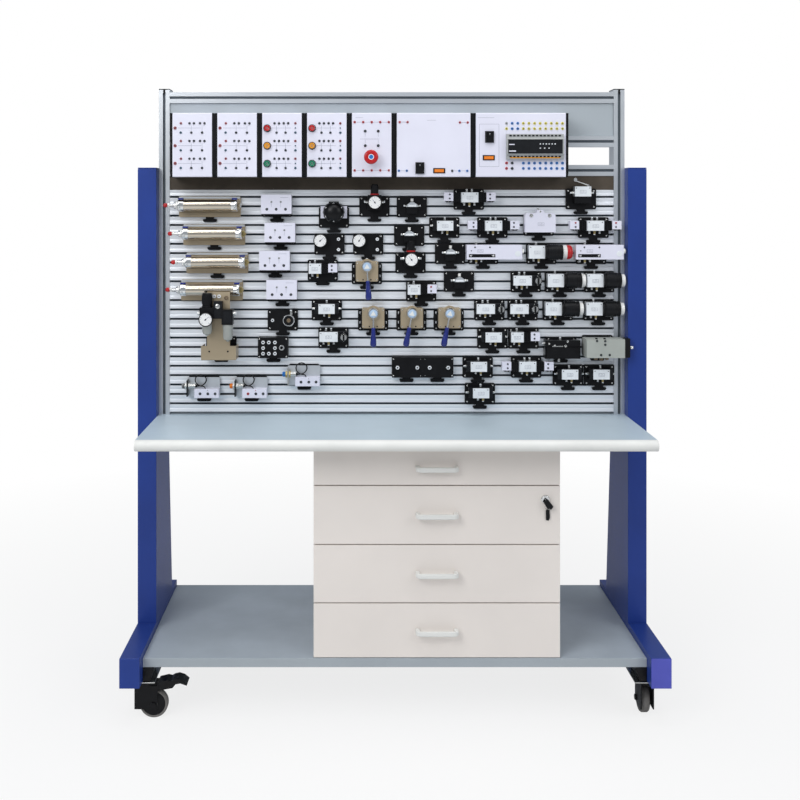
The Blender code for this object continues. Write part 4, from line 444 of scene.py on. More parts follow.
def upper_frame():
    """Grooved posts and rails keep their shape; the sheet and caps get their own finish, and the grooves and the
    strip get painted shade.
    """
    restyle("panel_frame", "silver", 0.0005)
    x, y, z = box_of("panel_frame")
    trim = Piece("panel_frame_trim", 0.0005)
    for side in (-1, 1):
        post = sorted((side * x[1], side * (x[1] - 0.032)))
        trim.box("black", post, (y[0] - 0.0002, y[1]), (z[1] - 0.003, z[1]))
        trim.box("black", around(sum(post) / 2, 0.007), (y[0] - 0.0002, y[0] + 0.004),
            (z[1] - 0.013, z[1] - 0.002))
        # Painted shade in the post's groove.
        trim.box("groove", around(sum(post) / 2, 0.0076), (y[0] + 0.0075, y[0] + 0.0092),
            (z[0], z[1] - 0.01))
    span = (-PANEL_HALF, PANEL_HALF)
    # Painted shade along the rails' grooves.
    for low in (1.7335, 1.603, 1.5165):
        trim.box("groove", span, (y[0] + 0.0075, y[0] + 0.0092), around(low + 0.01625, 0.0076))
    trim.box("sheet", span, (y[0] + 0.0055, y[0] + 0.0078), (1.6358, 1.7332))
    # Painted shade: this strip is coloured as the shade under the electric boxes.
    trim.box("painted_shade", span, (y[0] + 0.0022, y[0] + 0.0038), (1.4745, 1.5162))
    trim.done("silver_profile")


def panel():
    """Every rib of the slotted panel, with lips round its undercut slots, and its back sheet."""
    ribs = Piece("slotted_panel_ribs", 0.0006)
    span = (-PANEL_HALF, PANEL_HALF)
    for index in range(SLOT_COUNT):
        low = FIRST_SLOT_Z + SLOT_WIDTH / 2 - index * SLOT_PITCH
        high = low + (SLOT_PITCH - SLOT_WIDTH if index else TOP_RIB_HEIGHT)
        middle = (low + high) / 2
        lip, web, back = PANEL_Y + 0.0025, 0.004, PANEL_Y + 0.0175
        ribs.prism("rib", "X", [(PANEL_Y, low), (lip, low), (lip, middle - web),
            (back, middle - web), (back, middle + web), (lip, middle + web), (lip, high),
            (PANEL_Y, high), (PANEL_Y, middle + 0.0008), (PANEL_Y + 0.0004, middle),
            (PANEL_Y, middle - 0.0008)], span)
    ribs.done("silver_profile", replaces=[f"panel_plank_{i}" for i in range(1, 7)])
    # Painted shade: the back sheet behind the slots is dark, as deep slots look.
    sheet = Piece("slotted_panel_back", 0)
    sheet.box("groove", span, (PANEL_Y + 0.0176, PANEL_Y + 0.02),
        (TABLE_Z + 0.002, FIRST_SLOT_Z + 0.0204))
    sheet.done("silver_profile")


# The electric boxes: left and right sides, and the face's front, bottom and height
CASE_SPANS = []
for case_width in [0.1298] * 5 + [0.2286, 0.276]:
    case_left = CASE_SPANS[-1][1] if CASE_SPANS else -PANEL_HALF + 0.017
    CASE_SPANS.append((case_left, case_left + case_width))
FACE_Y = PANEL_Y - 0.099
CASE_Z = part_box("module_cases")[0][2]
CASE_HEIGHT = 0.186


def case_point(index, x_share, rise_share):
    left, right = CASE_SPANS[index]
    return left + x_share * (right - left), CASE_Z + rise_share * CASE_HEIGHT


def socket(piece, finish, centre, radius=0.0034):
    """A safety socket: a raised coloured collar round a dark hole."""
    reach = FACE_Y - 0.0022
    piece.lathe(finish, "Y", centre, [(radius, FACE_Y + 0.0004), (radius, reach + 0.0006),
        (radius * 0.86, reach), (radius * 0.52, reach), (radius * 0.46, reach + 0.0012)], 16)
    # Painted shade: a dark disc at the bottom of the hole.
    piece.disc("groove", "Y", centre, radius * 0.47, (reach + 0.0012, FACE_Y + 0.0002), 12)


def strokes(piece, points, width=0.0006):
    """Thin printed circuit lines on a face, from point to point."""
    for start, end in zip(points, points[1:]):
        low, high = [min(a, b) for a, b in zip(start, end)], [max(a, b) for a, b in zip(start, end)]
        piece.box("print", (low[0] - width / 2, high[0] + width / 2),
            (FACE_Y - 0.00025, FACE_Y + 0.0002), (low[1] - width / 2, high[1] + width / 2))


def relay_face(piece, index, lamps):
    """Three rows of change-over contacts, with either a socket or a lit button at their left."""
    rise = (0.792, 0.517, 0.242)
    for share in rise:
        upper = [0.25, 0.44, 0.54, 0.675, 0.775] if not lamps else [0.335, 0.435, 0.54, 0.64, 0.8]
        lower = [0.245, 0.48, 0.72] if not lamps else [0.38, 0.58, 0.8]
        for number, x_share in enumerate(upper):
            finish = "dusk" if (number == 0 and not lamps) or (number == 4 and lamps) else "black"
            socket(piece, finish, case_point(index, x_share, share + 0.045))
        for number, x_share in enumerate(lower):
            finish = "teal" if (number == 0 and not lamps) or (number == 2 and lamps) else "black"
            socket(piece, finish, case_point(index, x_share, share - 0.1))
        if lamps:
            socket(piece, "teal", case_point(index, 0.8, share - 0.028), 0.0019)
        else:
            socket(piece, "dusk", case_point(index, 0.12, share - 0.028), 0.0044)
        start = 0.19 if not lamps else 0.27
        strokes(piece, [case_point(index, start, share - 0.028),
            case_point(index, 0.7, share - 0.028)])
        for number, x_share in enumerate(lower[:2] if lamps else lower[1:]):
            strokes(piece, [case_point(index, x_share, share - 0.08),
                case_point(index, x_share, share + 0.008)])
            strokes(piece, [case_point(index, x_share + 0.045, share + 0.01),
                case_point(index, x_share + 0.045, share + 0.03)])


def supply_rows(piece, index, x_shares, rise_share, finishes):
    points = [case_point(index, share, rise_share) for share in x_shares]
    for point, finish in zip(points, finishes):
        socket(piece, finish, point)
    for start, end in zip(points, points[1:]):
        if end[0] - start[0] < 0.03:
            strokes(piece, [(start[0] + 0.0048, start[1]), (end[0] - 0.0048, end[1])])


def controller(piece, x, z):
    """A small logic controller: a stepped dark housing between its two rows of terminals."""
    half = 0.0825
    body = (-0.0365, 0.0365)
    piece.prism("grey", "X", [(FACE_Y + 0.0005, z + body[0]), (FACE_Y - 0.012, z + body[0]),
        (FACE_Y - 0.0135, z - 0.026), (FACE_Y - 0.018, z - 0.022), (FACE_Y - 0.018, z + 0.022),
        (FACE_Y - 0.0135, z + 0.026), (FACE_Y - 0.012, z + body[1]),
        (FACE_Y + 0.0005, z + body[1])], (x - half, x + half))
    front = FACE_Y - 0.018
    piece.box("coil", (x - half + 0.004, x + half - 0.004), (front - 0.0002, front + 0.002),
        (z - 0.0205, z + 0.0205))
    for row, count, first, step in ((0.0075, 6, 0.014, 0.0085), (-0.0045, 3, 0.014, 0.0125)):
        for number in range(count):
            piece.box("label", around(x + first + number * step, 0.0034), (front - 0.0004, front),
                around(z + row, 0.003))
    piece.box("case", (x - 0.076, x - 0.06), (front - 0.0004, front), around(z + 0.006, 0.0028))
    piece.box("case", (x - 0.076, x - 0.056), (front - 0.0004, front), around(z - 0.013, 0.0032))
    piece.box("amber", (x - 0.072, x + 0.072), (FACE_Y - 0.013, FACE_Y - 0.0118),
        (z - 0.0335, z - 0.03))
    for number in range(14):
        slot_x = x - 0.071 + number * 0.0109
        for row_z in (z + 0.0315, z - 0.0285):
            piece.box("black", around(slot_x, 0.007), (FACE_Y - 0.0138, FACE_Y - 0.0124),
                around(row_z, 0.0042))


def rocker_frame(piece, centre):
    """The frame of a rocker switch, open in the middle, with a shallow inner step."""
    x, z = centre
    front = FACE_Y - 0.0018
    for side in (-1, 1):
        inner, outer = 0.0096, 0.0128
        piece.box("black", sorted((x + side * inner, x + side * outer)), (front, FACE_Y + 0.0004),
            around(z, 0.0334))
        piece.box("black", around(x, 2 * inner + 0.0004), (front, FACE_Y + 0.0004),
            sorted((z + side * 0.0136, z + side * 0.0167)))


def electric_boxes():
    """Seven pale cases with dark end caps, and what their faces carry."""
    back = box_of("module_cases")[1][1]
    top = CASE_Z + CASE_HEIGHT
    cases = Piece("electric_cases", 0.0012)
    caps = Piece("electric_case_caps", 0.0008)
    outline = [(FACE_Y + 0.0015, CASE_Z + 0.0006), (FACE_Y, CASE_Z + 0.002), (FACE_Y, top - 0.002),
        (FACE_Y + 0.002, top), (back, top), (back, CASE_Z + 0.0006)]
    for left, right in CASE_SPANS:
        cases.prism("case", "X", outline, (left + 0.0078, right - 0.0078))
        # Painted shade: the undersides of the pale cases are dark, as if in shade.
        cases.box("painted_shade", (left + 0.007, right - 0.007), (FACE_Y + 0.008, back - 0.004),
            (CASE_Z, CASE_Z + 0.0008))
        for slot_x in (left + (right - left) * 0.32, left + (right - left) * 0.68):
            caps.box("black", around(slot_x, 0.022), (FACE_Y + 0.03, FACE_Y + 0.036),
                (CASE_Z, CASE_Z + 0.0012))
        for side in ((left + 0.0002, left + 0.0079), (right - 0.0079, right - 0.0002)):
            caps.prism("black", "X", [(FACE_Y + 0.012, CASE_Z), (FACE_Y + 0.0006, CASE_Z + 0.012),
                (FACE_Y + 0.0006, top - 0.0005), (back, top - 0.0005), (back, CASE_Z)], side)
    cases.done("pale_case", replaces=["module_cases"])
    caps.done("black_plastic")
    face = Piece("electric_box_faces", 0.0)
    for index in (0, 1):
        relay_face(face, index, False)
    for index in (2, 3):
        relay_face(face, index, True)
    for rise in (0.855, 0.105):
        supply_rows(face, 4, (0.12, 0.31, 0.5, 0.69, 0.88), rise, ["red"] * 5)
    for x_share in (0.355, 0.645):
        for rise in (0.715, 0.49):
            socket(face, "black", case_point(4, x_share, rise), 0.004)
        strokes(face, [case_point(4, x_share, 0.53), case_point(4, x_share, 0.575)])
        strokes(face, [case_point(4, x_share, 0.63), case_point(4, x_share, 0.675)])
    strokes(face, [case_point(4, 0.24, 0.593), case_point(4, 0.66, 0.593)])
    supply_rows(face, 5, (0.07, 0.17), 0.855, ["red", "red"])
    supply_rows(face, 5, (0.832, 0.93), 0.85, ["red", "red"])
    supply_rows(face, 5, (0.06, 0.16), 0.1, ["cyan", "cyan"])
    supply_rows(face, 5, (0.735, 0.825, 0.925), 0.098, ["black", "cyan", "cyan"])
    strokes(face, [case_point(5, 0.42, 0.885), case_point(5, 0.53, 0.885)])
    strokes(face, [case_point(4, 0.14, 0.925), case_point(4, 0.3, 0.925)])
    strokes(face, [case_point(6, 0.05, 0.925), case_point(6, 0.22, 0.925)])
    x, z = case_point(6, 0.642, 0.471)
    controller(face, x, z)
    pitch = 0.01654
    for column in range(11):
        upper = "grey" if column == 0 else "cyan" if column in (1, 2) else "lemon"
        lower = "red" if column == 0 else "black" if column == 1 else "cyan"
        column_x = x - 0.0808 + column * pitch * 0.978
        for row in range(2):
            socket(face, upper if row or column else "lemon", (column_x,
                z + 0.0525 + row * 0.0155), 0.004)
            if column != 2:
                socket(face, lower, (column_x, z - 0.047 - row * 0.0155), 0.004)
    frame_left, frame_low = case_point(6, 0.065, 0.165)
    frame_right, frame_high = case_point(6, 0.27, 0.825)
    strokes(face, [(frame_left, frame_low), (frame_right, frame_low), (frame_right, frame_high),
        (frame_left, frame_high), (frame_left, frame_low)])
    for lamp_x, lamp_z in (case_point(5, 0.57, 0.1), case_point(6, 0.163, 0.302)):
        face.box("black", around(lamp_x, 0.0345), (FACE_Y - 0.0014, FACE_Y + 0.0003),
            around(lamp_z, 0.015))
        face.box("orange", around(lamp_x, 0.027), (FACE_Y - 0.0024, FACE_Y), around(lamp_z, 0.009))
    rocker_frame(face, (0.078, 1.5364))
    rocker_frame(face, (0.2794, 1.6264))
    for x in (-0.3636, -0.2338):
        for z in (1.6514, 1.6008, 1.5491):
            face.turned("black", "Y", (x, z), FACE_Y, [(9.4, 0.3), (11.2, 0.3), (11.2, -2.2),
                (10.4, -3.2), (9.4, -3.2)], 32)
    stop = (-0.0634, 1.5673)
    face.turned("chrome", "Y", stop, FACE_Y, [(6.2, 0.3), (11.5, 0.3), (11.5, -5), (10, -6),
        (6.2, -6)], 32)
    face.done("pale_case")
    controls()


def domed(piece, finish, centre, radius, seat, front, dish=0.0):
    """A round push head with a rounded rim and a slightly dished or domed face."""
    depth = seat - front
    piece.lathe(finish, "Y", centre, [(0, seat), (radius * 0.97, seat),
        (radius, seat - depth * 0.3), (radius, front + depth * 0.25),
        (radius * 0.95, front + depth * 0.08), (radius * 0.86, front),
        (radius * 0.5, front + dish * 0.7), (0, front + dish)], 40)


def controls():
    """Lit buttons, the stop head and the rockers, each on its own body."""
    colours = {"red": "red", "yellow": "amber", "green": "green"}
    for colour, finish in colours.items():
        for number in (1, 2):
            node = f"push_button_{colour}_{number}"
            x, y, z = box_of(node)
            button = Piece(f"{node}_domed", 0.0)
            centre = (sum(x) / 2, sum(z) / 2)
            domed(button, finish, centre, (x[1] - x[0]) / 2, y[1], y[0], 0.0009)
            button.sleeve("steel", "Y", centre, (0.0024, 0.0034), (y[0] + 0.001, y[0] + 0.0004), 20)
            button.done(f"{colour}_plastic", node, [node])
    node = "emergency_stop_head"
    x, y, z = box_of(node)
    centre, radius = (sum(x) / 2, sum(z) / 2), (x[1] - x[0]) / 2
    head = Piece(f"{node}_flared", 0.0)
    head.lathe("red", "Y", centre, [(0, y[1]), (0.0058, y[1]), (0.0058, y[0] + 0.016),
        (radius * 0.62, y[0] + 0.015), (radius * 0.93, y[0] + 0.011), (radius, y[0] + 0.0075),
        (radius * 0.985, y[0] + 0.004), (radius * 0.9, y[0] + 0.0012), (radius * 0.74, y[0]),
        (radius * 0.45, y[0] + 0.0008), (0, y[0] + 0.001)], 48)
    head.turned("cyan", "Y", centre, y[0], [(0, 1.2), (6.2, 1.2), (6.2, 0.3), (0, 0.1)], 28)
    head.sleeve("dial", "Y", centre, (0.0062, 0.008), (y[0] + 0.0012, y[0] + 0.0004), 28)
    head.done("red_plastic", node, [node])
    for node in ("rocker_switch_power", "rocker_switch_control"):
        x, y, z = box_of(node)
        rocker = Piece(f"{node}_curved", 0.0006)
        middle, low, high = sum(z) / 2, z[0], z[1]
        outline = [(y[1], low), (y[0] + 0.0012, low), (y[0] + 0.0022, (low + middle) / 2),
            (y[0] + 0.003, middle), (y[0] + 0.0018, (middle + high) / 2), (y[0], high),
            (y[1], high)]
        rocker.prism("black", "X", outline, x)
        rocker.box("label", around(sum(x) / 2, 0.001), (y[0] + 0.0004, y[0] + 0.0026),
            around(middle + 0.0085, 0.005))
        rocker.done("black_plastic", node, [node])


# The clip-on plates of the panel and what they carry
MOUNT_Y = PLATE_FRONT + 0.0005
VALVE_FACE = MOUNT_Y - 0.028
VALVE_LIFT = 0.006


def place(x_share, row_share):
    return PANEL_HALF * (2 * x_share - 1), FIRST_SLOT_Z - row_share * SLOT_PITCH + PLATE_HEIGHT / 2


def screw(piece, centre, face, radius=0.0022, finish="steel"):
    """A socket-head screw on a face that looks forward."""
    piece.lathe(finish, "Y", centre, [(0, face + 0.0004), (radius, face + 0.0004),
        (radius, face - 0.0009), (radius * 0.75, face - 0.0013), (radius * 0.48, face - 0.0013),
        (radius * 0.45, face - 0.0003), (0, face - 0.0003)], 12)


def hole(piece, centre, face, radius=0.0026, finish="black"):
    """A small socket: a collar round a dark hole."""
    piece.lathe(finish, "Y", centre, [(radius, face + 0.0004), (radius, face - 0.0008),
        (radius * 0.8, face - 0.0014), (radius * 0.5, face - 0.0014),
        (radius * 0.45, face - 0.0006)], 14)
    # Painted shade: a dark disc at the bottom of the hole.
    piece.disc("groove", "Y", centre, radius * 0.48, (face - 0.0006, face + 0.0002), 10)


def clip_plate(piece, x, z, width=PLATE_WIDTH, clips=(0,), finish="plate"):
    """A plate with chamfered corners and screws, its clips below and a tongue in the slot behind."""
    half, low, high, cut = width / 2, z - PLATE_HEIGHT / 2, z + PLATE_HEIGHT / 2, 0.003
    piece.prism(finish, "Y", [(x - half, low + cut), (x - half + cut, low), (x + half - cut, low),
        (x + half, low + cut), (x + half, high - cut), (x + half - cut, high),
        (x - half + cut, high), (x - half, high - cut)], (PLATE_FRONT, PLATE_BACK))
    for across in (-half + 0.007, half - 0.007):
        for rise in (low + 0.007, high - 0.007):
            screw(piece, (x + across, rise), PLATE_FRONT, 0.0024)
    for share in clips:
        middle, base = x + share * width, low + 0.0005
        stem, foot = base - 0.006, base - 0.015
        piece.prism("plate", "Y", [(middle - 0.012, base), (middle - 0.012, stem),
            (middle - 0.0195, stem - 0.0005), (middle - 0.0215, stem - 0.003),
            (middle - 0.0185, foot + 0.0005), (middle - 0.016, foot), (middle + 0.016, foot),
            (middle + 0.0185, foot + 0.0005), (middle + 0.0215, stem - 0.003),
            (middle + 0.0195, stem - 0.0005), (middle + 0.012, stem), (middle + 0.012, base)],
            (PLATE_FRONT + 0.0008, PLATE_BACK))
        for ridge in (0.0035, 0.006):
            piece.box("coil", around(middle, 0.022), (PLATE_FRONT, PLATE_FRONT + 0.0012),
                around(foot + ridge, 0.0012))
    slot = FIRST_SLOT_Z - round((FIRST_SLOT_Z - z) / SLOT_PITCH) * SLOT_PITCH
    piece.box("plate", around(x, 0.024), (PLATE_BACK - 0.0005, PANEL_Y + 0.002),
        around(slot, 0.0046))


def symbol(piece, x, z, squares, face, size=0.0088):
    """A plain flow symbol of squares and lines, as printed on valves."""
    depth = (face - 0.0003, face + 0.0002)
    for number in range(squares):
        left = x + (number - squares / 2) * size
        for edge in (left, left + size):
            piece.box("print", around(edge, 0.0005), depth, around(z, size))
        for edge in (z - size / 2, z + size / 2):
            piece.box("print", (left, left + size), depth, around(edge, 0.0005))
        piece.box("print", around(left + size * 0.32, 0.0005), depth, around(z, size * 0.75))
        piece.box("print", around(left + size * 0.7, 0.0005), depth,
            (z - size * 0.38, z + size * 0.05))


def fitting(piece, axis, centre, start, side, length=0.01, finish="steel", radius=0.004):
    """A push-in fitting: hexagon, neck and a pale release ring round a dark mouth."""
    a, b, c, d = [start + side * length * share for share in (-0.06, 0.4, 0.78, 1.0)]
    piece.disc(finish, axis, centre, radius, (a, b), 6)
    piece.disc(finish, axis, centre, radius * 0.84, (b - side * 0.0002, c), 20)
    piece.sleeve("label", axis, centre, (radius * 0.44, radius * 0.7), (c - side * 0.0003, d), 20)


def ports(piece, x, z, height, above, below, pitch=0.015, centre_y=VALVE_FACE + 0.014):
    """Fittings above and below a body; the middle lower one is longer and yellowish."""
    for number in range(above):
        fitting(piece, "Z", (x + (number - (above - 1) / 2) * pitch, centre_y), z + height / 2, 1,
            0.01)
    for number in range(below):
        middle = below == 1 or (below % 2 == 1 and number == below // 2) or (below == 2 and number == 1)
        fitting(piece, "Z", (x + (number - (below - 1) / 2) * pitch, centre_y), z - height / 2, -1,
            0.0125 if middle else 0.0085, "brass" if middle else "steel")


def valve_body(piece, x, z, width, label_x, label_width, height=0.03, finish="grey", squares=2,
        marks=True):
    """A machined body behind its pale cover with a flow symbol and two small screws."""
    piece.box(finish, around(x, width), (VALVE_FACE, MOUNT_Y), around(z, height))
    front = VALVE_FACE - 0.004
    piece.box("label", around(label_x, label_width), (front, VALVE_FACE + 0.0004),
        around(z, height - 0.001))
    if marks:
        symbol(piece, label_x, z - 0.001, squares, front)
    for across in (-1, 1):
        hole(piece, (label_x + across * (label_width / 2 - 0.0045), z + height / 2 - 0.005), front,
            0.0014)


def coil(piece, start, side, z, length=0.025):
    """A ribbed coil beside the valve body."""
    piece.box("coil", sorted((start - side * 0.001, start + side * length)),
        (VALVE_FACE + 0.0025, MOUNT_Y - 0.001), around(z, 0.0255))
    for number in range(5):
        piece.box("black", around(start + side * (0.003 + number * 0.0048), 0.003),
            (VALVE_FACE + 0.0002, MOUNT_Y), around(z, 0.029))


def connector(piece, start, side, z, upper="black"):
    """The plug of a coil: a pale block with two sockets and its gland below."""
    end, front = start + side * 0.027, VALVE_FACE - 0.004
    low, high = sorted((start, end))
    back = front + 0.0235
    piece.box("case", (low, high), (front, back), (z - 0.0105, z + 0.0145))
    piece.prism("black", "Y", [(low + 0.0015, z - 0.0102), (high - 0.0015, z - 0.0102),
        (high - 0.0085, z - 0.0145), (low + 0.0085, z - 0.0145)], (front + 0.0015, back))
    dot = (low + high) / 2 - side * 0.003
    hole(piece, (dot, z + 0.0085), front, 0.0027, upper)
    hole(piece, (dot, z - 0.0035), front, 0.0027)
    screw(piece, ((low + high) / 2, z - 0.0125), front + 0.0015, 0.0013)


def solenoid_valves(piece):
    places = ((0.673, 1.38), (0.726, 4.37), (0.953, 4.37), (0.802, 19.23))
    for number, shares in enumerate(places):
        x, z = place(*shares)
        clip_plate(piece, x, z)
        z += VALVE_LIFT
        valve_body(piece, x, z, 0.052, x, 0.048, finish="silver")
        for side in (-1, 1):
            coil(piece, x + side * 0.024, side, z)
            connector(piece, x + side * 0.049, side, z, "red" if number == 2 else "black")
        ports(piece, x, z, 0.03, 2, 3)
    for number, shares in enumerate(((0.345, 8.9), (0.566, 11.11), (0.796, 16.13))):
        x, z = place(*shares)
        clip_plate(piece, x, z)
        z += VALVE_LIFT
        left = x - 0.0412
        label_x = left + 0.0185
        valve_body(piece, left + 0.019, z, 0.038, label_x, 0.036, finish="silver")
        coil(piece, left + 0.037, 1, z, 0.021)
        connector(piece, left + 0.058, 1, z, "red" if number == 1 else "black")
        ports(piece, label_x, z, 0.03, 1, 2)


def pilot_valves(piece):
    for shares in ((0.354, 13.14), (0.618, 4.37), (0.726, 16.13), (0.693, 19.23), (0.896, 20.04),
            (0.966, 20.04), (0.698, 22.01)):
        x, z = place(*shares)
        clip_plate(piece, x, z)
        z += VALVE_LIFT
        valve_body(piece, x, z, 0.07, x, 0.048, finish="coil")
        for side in (-1, 1):
            piece.box("black", sorted((x + side * 0.0245, x + side * 0.0355)),
                (VALVE_FACE + 0.002, MOUNT_Y - 0.001), around(z, 0.0265))
            start = x + side * 0.035
            fitting(piece, "X", (VALVE_FACE + 0.014, z), start, side, 0.0085, "steel", 0.0038)
        ports(piece, x, z, 0.03, 1, 2)


def knurled(piece, finish, axis, centre, radius, ends, teeth=24, depth=0.05):
    """A knob with grooves round its rim."""
    outline = [(centre[0] + radius * (1 - depth * (i % 2)) * math.cos(math.pi * i / teeth),
        centre[1] + radius * (1 - depth * (i % 2)) * math.sin(math.pi * i / teeth))
        for i in range(2 * teeth)]
    piece.prism(finish, axis, outline, ends)


def selector_valves(piece):
    for number, shares in enumerate(((0.801, 10.15), (0.719, 13.14), (0.794, 13.14),
            (0.369, 16.08))):
        x, z = place(*shares)
        clip_plate(piece, x, z)
        z += VALVE_LIFT
        valve_body(piece, x, z, 0.084, x - 0.014, 0.054, finish="coil")
        ports(piece, x - 0.014, z, 0.03, 2, 3)
        knob_x = x + 0.0305
        for rise in (-0.0128, 0.0128):
            screw(piece, (knob_x, z + rise), VALVE_FACE, 0.0015)
        node = f"selector_knob_{number + 1}"
        knob = Piece(f"{node}_ribbed", 0.0005)
        y = box_of(node)[1]
        seat, front = y[1], y[0]
        knurled(knob, "black", "Y", (knob_x, z), 0.0115, (front + 0.0055, seat), 20, 0.06)
        knob.disc("steel", "Y", (knob_x, z), 0.0092, (front + 0.0058, front + 0.0044), 28)
        knob.box("black", around(knob_x, 0.005), (front, front + 0.0048), around(z, 0.0176))
        knob.box("label", around(knob_x, 0.001), (front, front + 0.001), (z + 0.002, z + 0.008))
        knob.done("black_plastic", node, [node])


def push_valves(piece):
    centre_y = MOUNT_Y - 0.0235
    rows = [(0.878, 10.15), (0.966, 10.15), (0.873, 13.14), (0.964, 13.14), (0.836, 7.15)]
    for number, shares in enumerate(rows):
        x, z = place(*shares)
        clip_plate(piece, x, z)
        x, z = x - 0.018, z + VALVE_LIFT
        valve_body(piece, x, z, 0.048, x, 0.047, 0.039, "silver")
        ports(piece, x, z, 0.039, 1, 2)
        start, end = x + 0.024, x + 0.075
        piece.lathe("black", "X", (centre_y, z), [(0, start - 0.0005), (0.02, start - 0.0005),
            (0.02, start + 0.006), (0.0235, start + 0.008), (0.0235, end - 0.012),
            (0.0222, end - 0.011), (0.0222, end - 0.006), (0.0235, end - 0.005), (0.0235, end),
            (0.0205, end), (0.0205, end - 0.012), (0, end - 0.012)], 48)
        for across in (0.012, 0.018, 0.024, 0.03):
            piece.sleeve("coil", "X", (centre_y, z), (0.0228, 0.0238),
                (start + across, start + across + 0.002), 48)
        node = "mushroom_valve_head" if number == 4 else f"valve_button_{number + 1}"
        ends, y, rise = box_of(node)
        head = Piece(f"{node}_turned", 0.0)
        axis = (sum(y) / 2, sum(rise) / 2)
        if number == 4:
            neck = ends[0] + 0.0191
            head.disc("knob", "X", axis, 0.0196, (ends[0], neck - 0.0005), 48)
            radius = (rise[1] - rise[0]) / 2
            head.lathe("red", "X", axis, [(0, neck - 0.0006), (radius * 0.94, neck - 0.0006),
                (radius, neck + 0.0012), (radius, neck + 0.007), (radius * 0.93, neck + 0.0115),
                (radius * 0.72, ends[1] - 0.0022), (radius * 0.4, ends[1] - 0.0004), (0, ends[1])],
                48)
            head.done("red_plastic", node, [node])
        else:
            radius = (rise[1] - rise[0]) / 2
            head.lathe("knob", "X", axis, [(0, ends[0]), (radius, ends[0]),
                (radius, ends[1] - 0.0045), (radius * 0.95, ends[1] - 0.002),
                (radius * 0.8, ends[1] - 0.0006), (radius * 0.45, ends[1]), (0, ends[1])], 48)
            head.done("white_plastic", node, [node])


def throttle_valves(piece):
    for shares in ((0.545, 2.18), (0.539, 5.23), (0.631, 7.15), (0.651, 10.1)):
        x, z = place(*shares)
        clip_plate(piece, x, z)
        piece.prism("silver", "Y", shifted(x, z, [(-15, 0), (15, 0), (15, 7), (5, 14), (-5, 14),
            (-15, 7)]), (VALVE_FACE, MOUNT_Y))
        piece.box("label", around(x, 0.0235), (VALVE_FACE - 0.0008, VALVE_FACE + 0.0005),
            (z + 0.0008, z + 0.0068))
        piece.box("black", around(x, 0.03), (MOUNT_Y - 0.012, MOUNT_Y), (z - 0.02, z + 0.0005))
        axis = (x, VALVE_FACE + 0.014)
        piece.disc("steel", "Z", axis, 0.0052, (z + 0.0135, z + 0.0165), 6)
        knurled(piece, "knob", "Z", axis, 0.0044, (z + 0.0165, z + 0.025), 14, 0.08)
        for side in (-1, 1):
            fitting(piece, "X", (VALVE_FACE + 0.014, z + 0.0038), x + side * 0.015, side, 0.01,
                "steel")


def roller_valve(piece):
    x, z = place(0.925, 1.33)
    clip_plate(piece, x, z)
    top = z + PLATE_HEIGHT / 2 + VALVE_LIFT
    middle = top - 0.015
    valve_body(piece, x, middle, 0.048, x, 0.048, finish="silver")
    piece.box("black", around(x, 0.048), (VALVE_FACE + 0.003, MOUNT_Y), (top - 0.05, top - 0.0295))
    for side in (-1, 1):
        fitting(piece, "X", (VALVE_FACE + 0.014, middle - 0.004), x + side * 0.024, side, 0.011,
            "steel")
    pivot = (x + 0.018, VALVE_FACE + 0.014, top + 0.003)
    for side in (-1, 1):
        ends = sorted((pivot[1] + side * 0.0054, pivot[1] + side * 0.0078))
        piece.box("steel", around(pivot[0], 0.005), ends, (top - 0.0005, pivot[2] + 0.0025))
    lever = Piece("roller_lever_bent", 0.0003)
    lever.prism("knob", "Y", shifted(pivot[0], pivot[2], [(2, -1), (2, 1.6), (-20, 8.8),
        (-36, 14.2), (-36, 12.2), (-20, 6.8)]), around(pivot[1], 0.0086))
    roller = (pivot[0] - 0.038, pivot[2] + 0.01675)
    lever.sleeve("chrome", "Y", roller, (0.0014, 0.0053), (pivot[1] - 0.0044, pivot[1] + 0.0044),
        28)
    lever.disc("steel", "Y", roller, 0.0016, around(pivot[1], 0.0098), 12)
    lever.done("white_plastic", "roller_lever", ["roller_lever"])


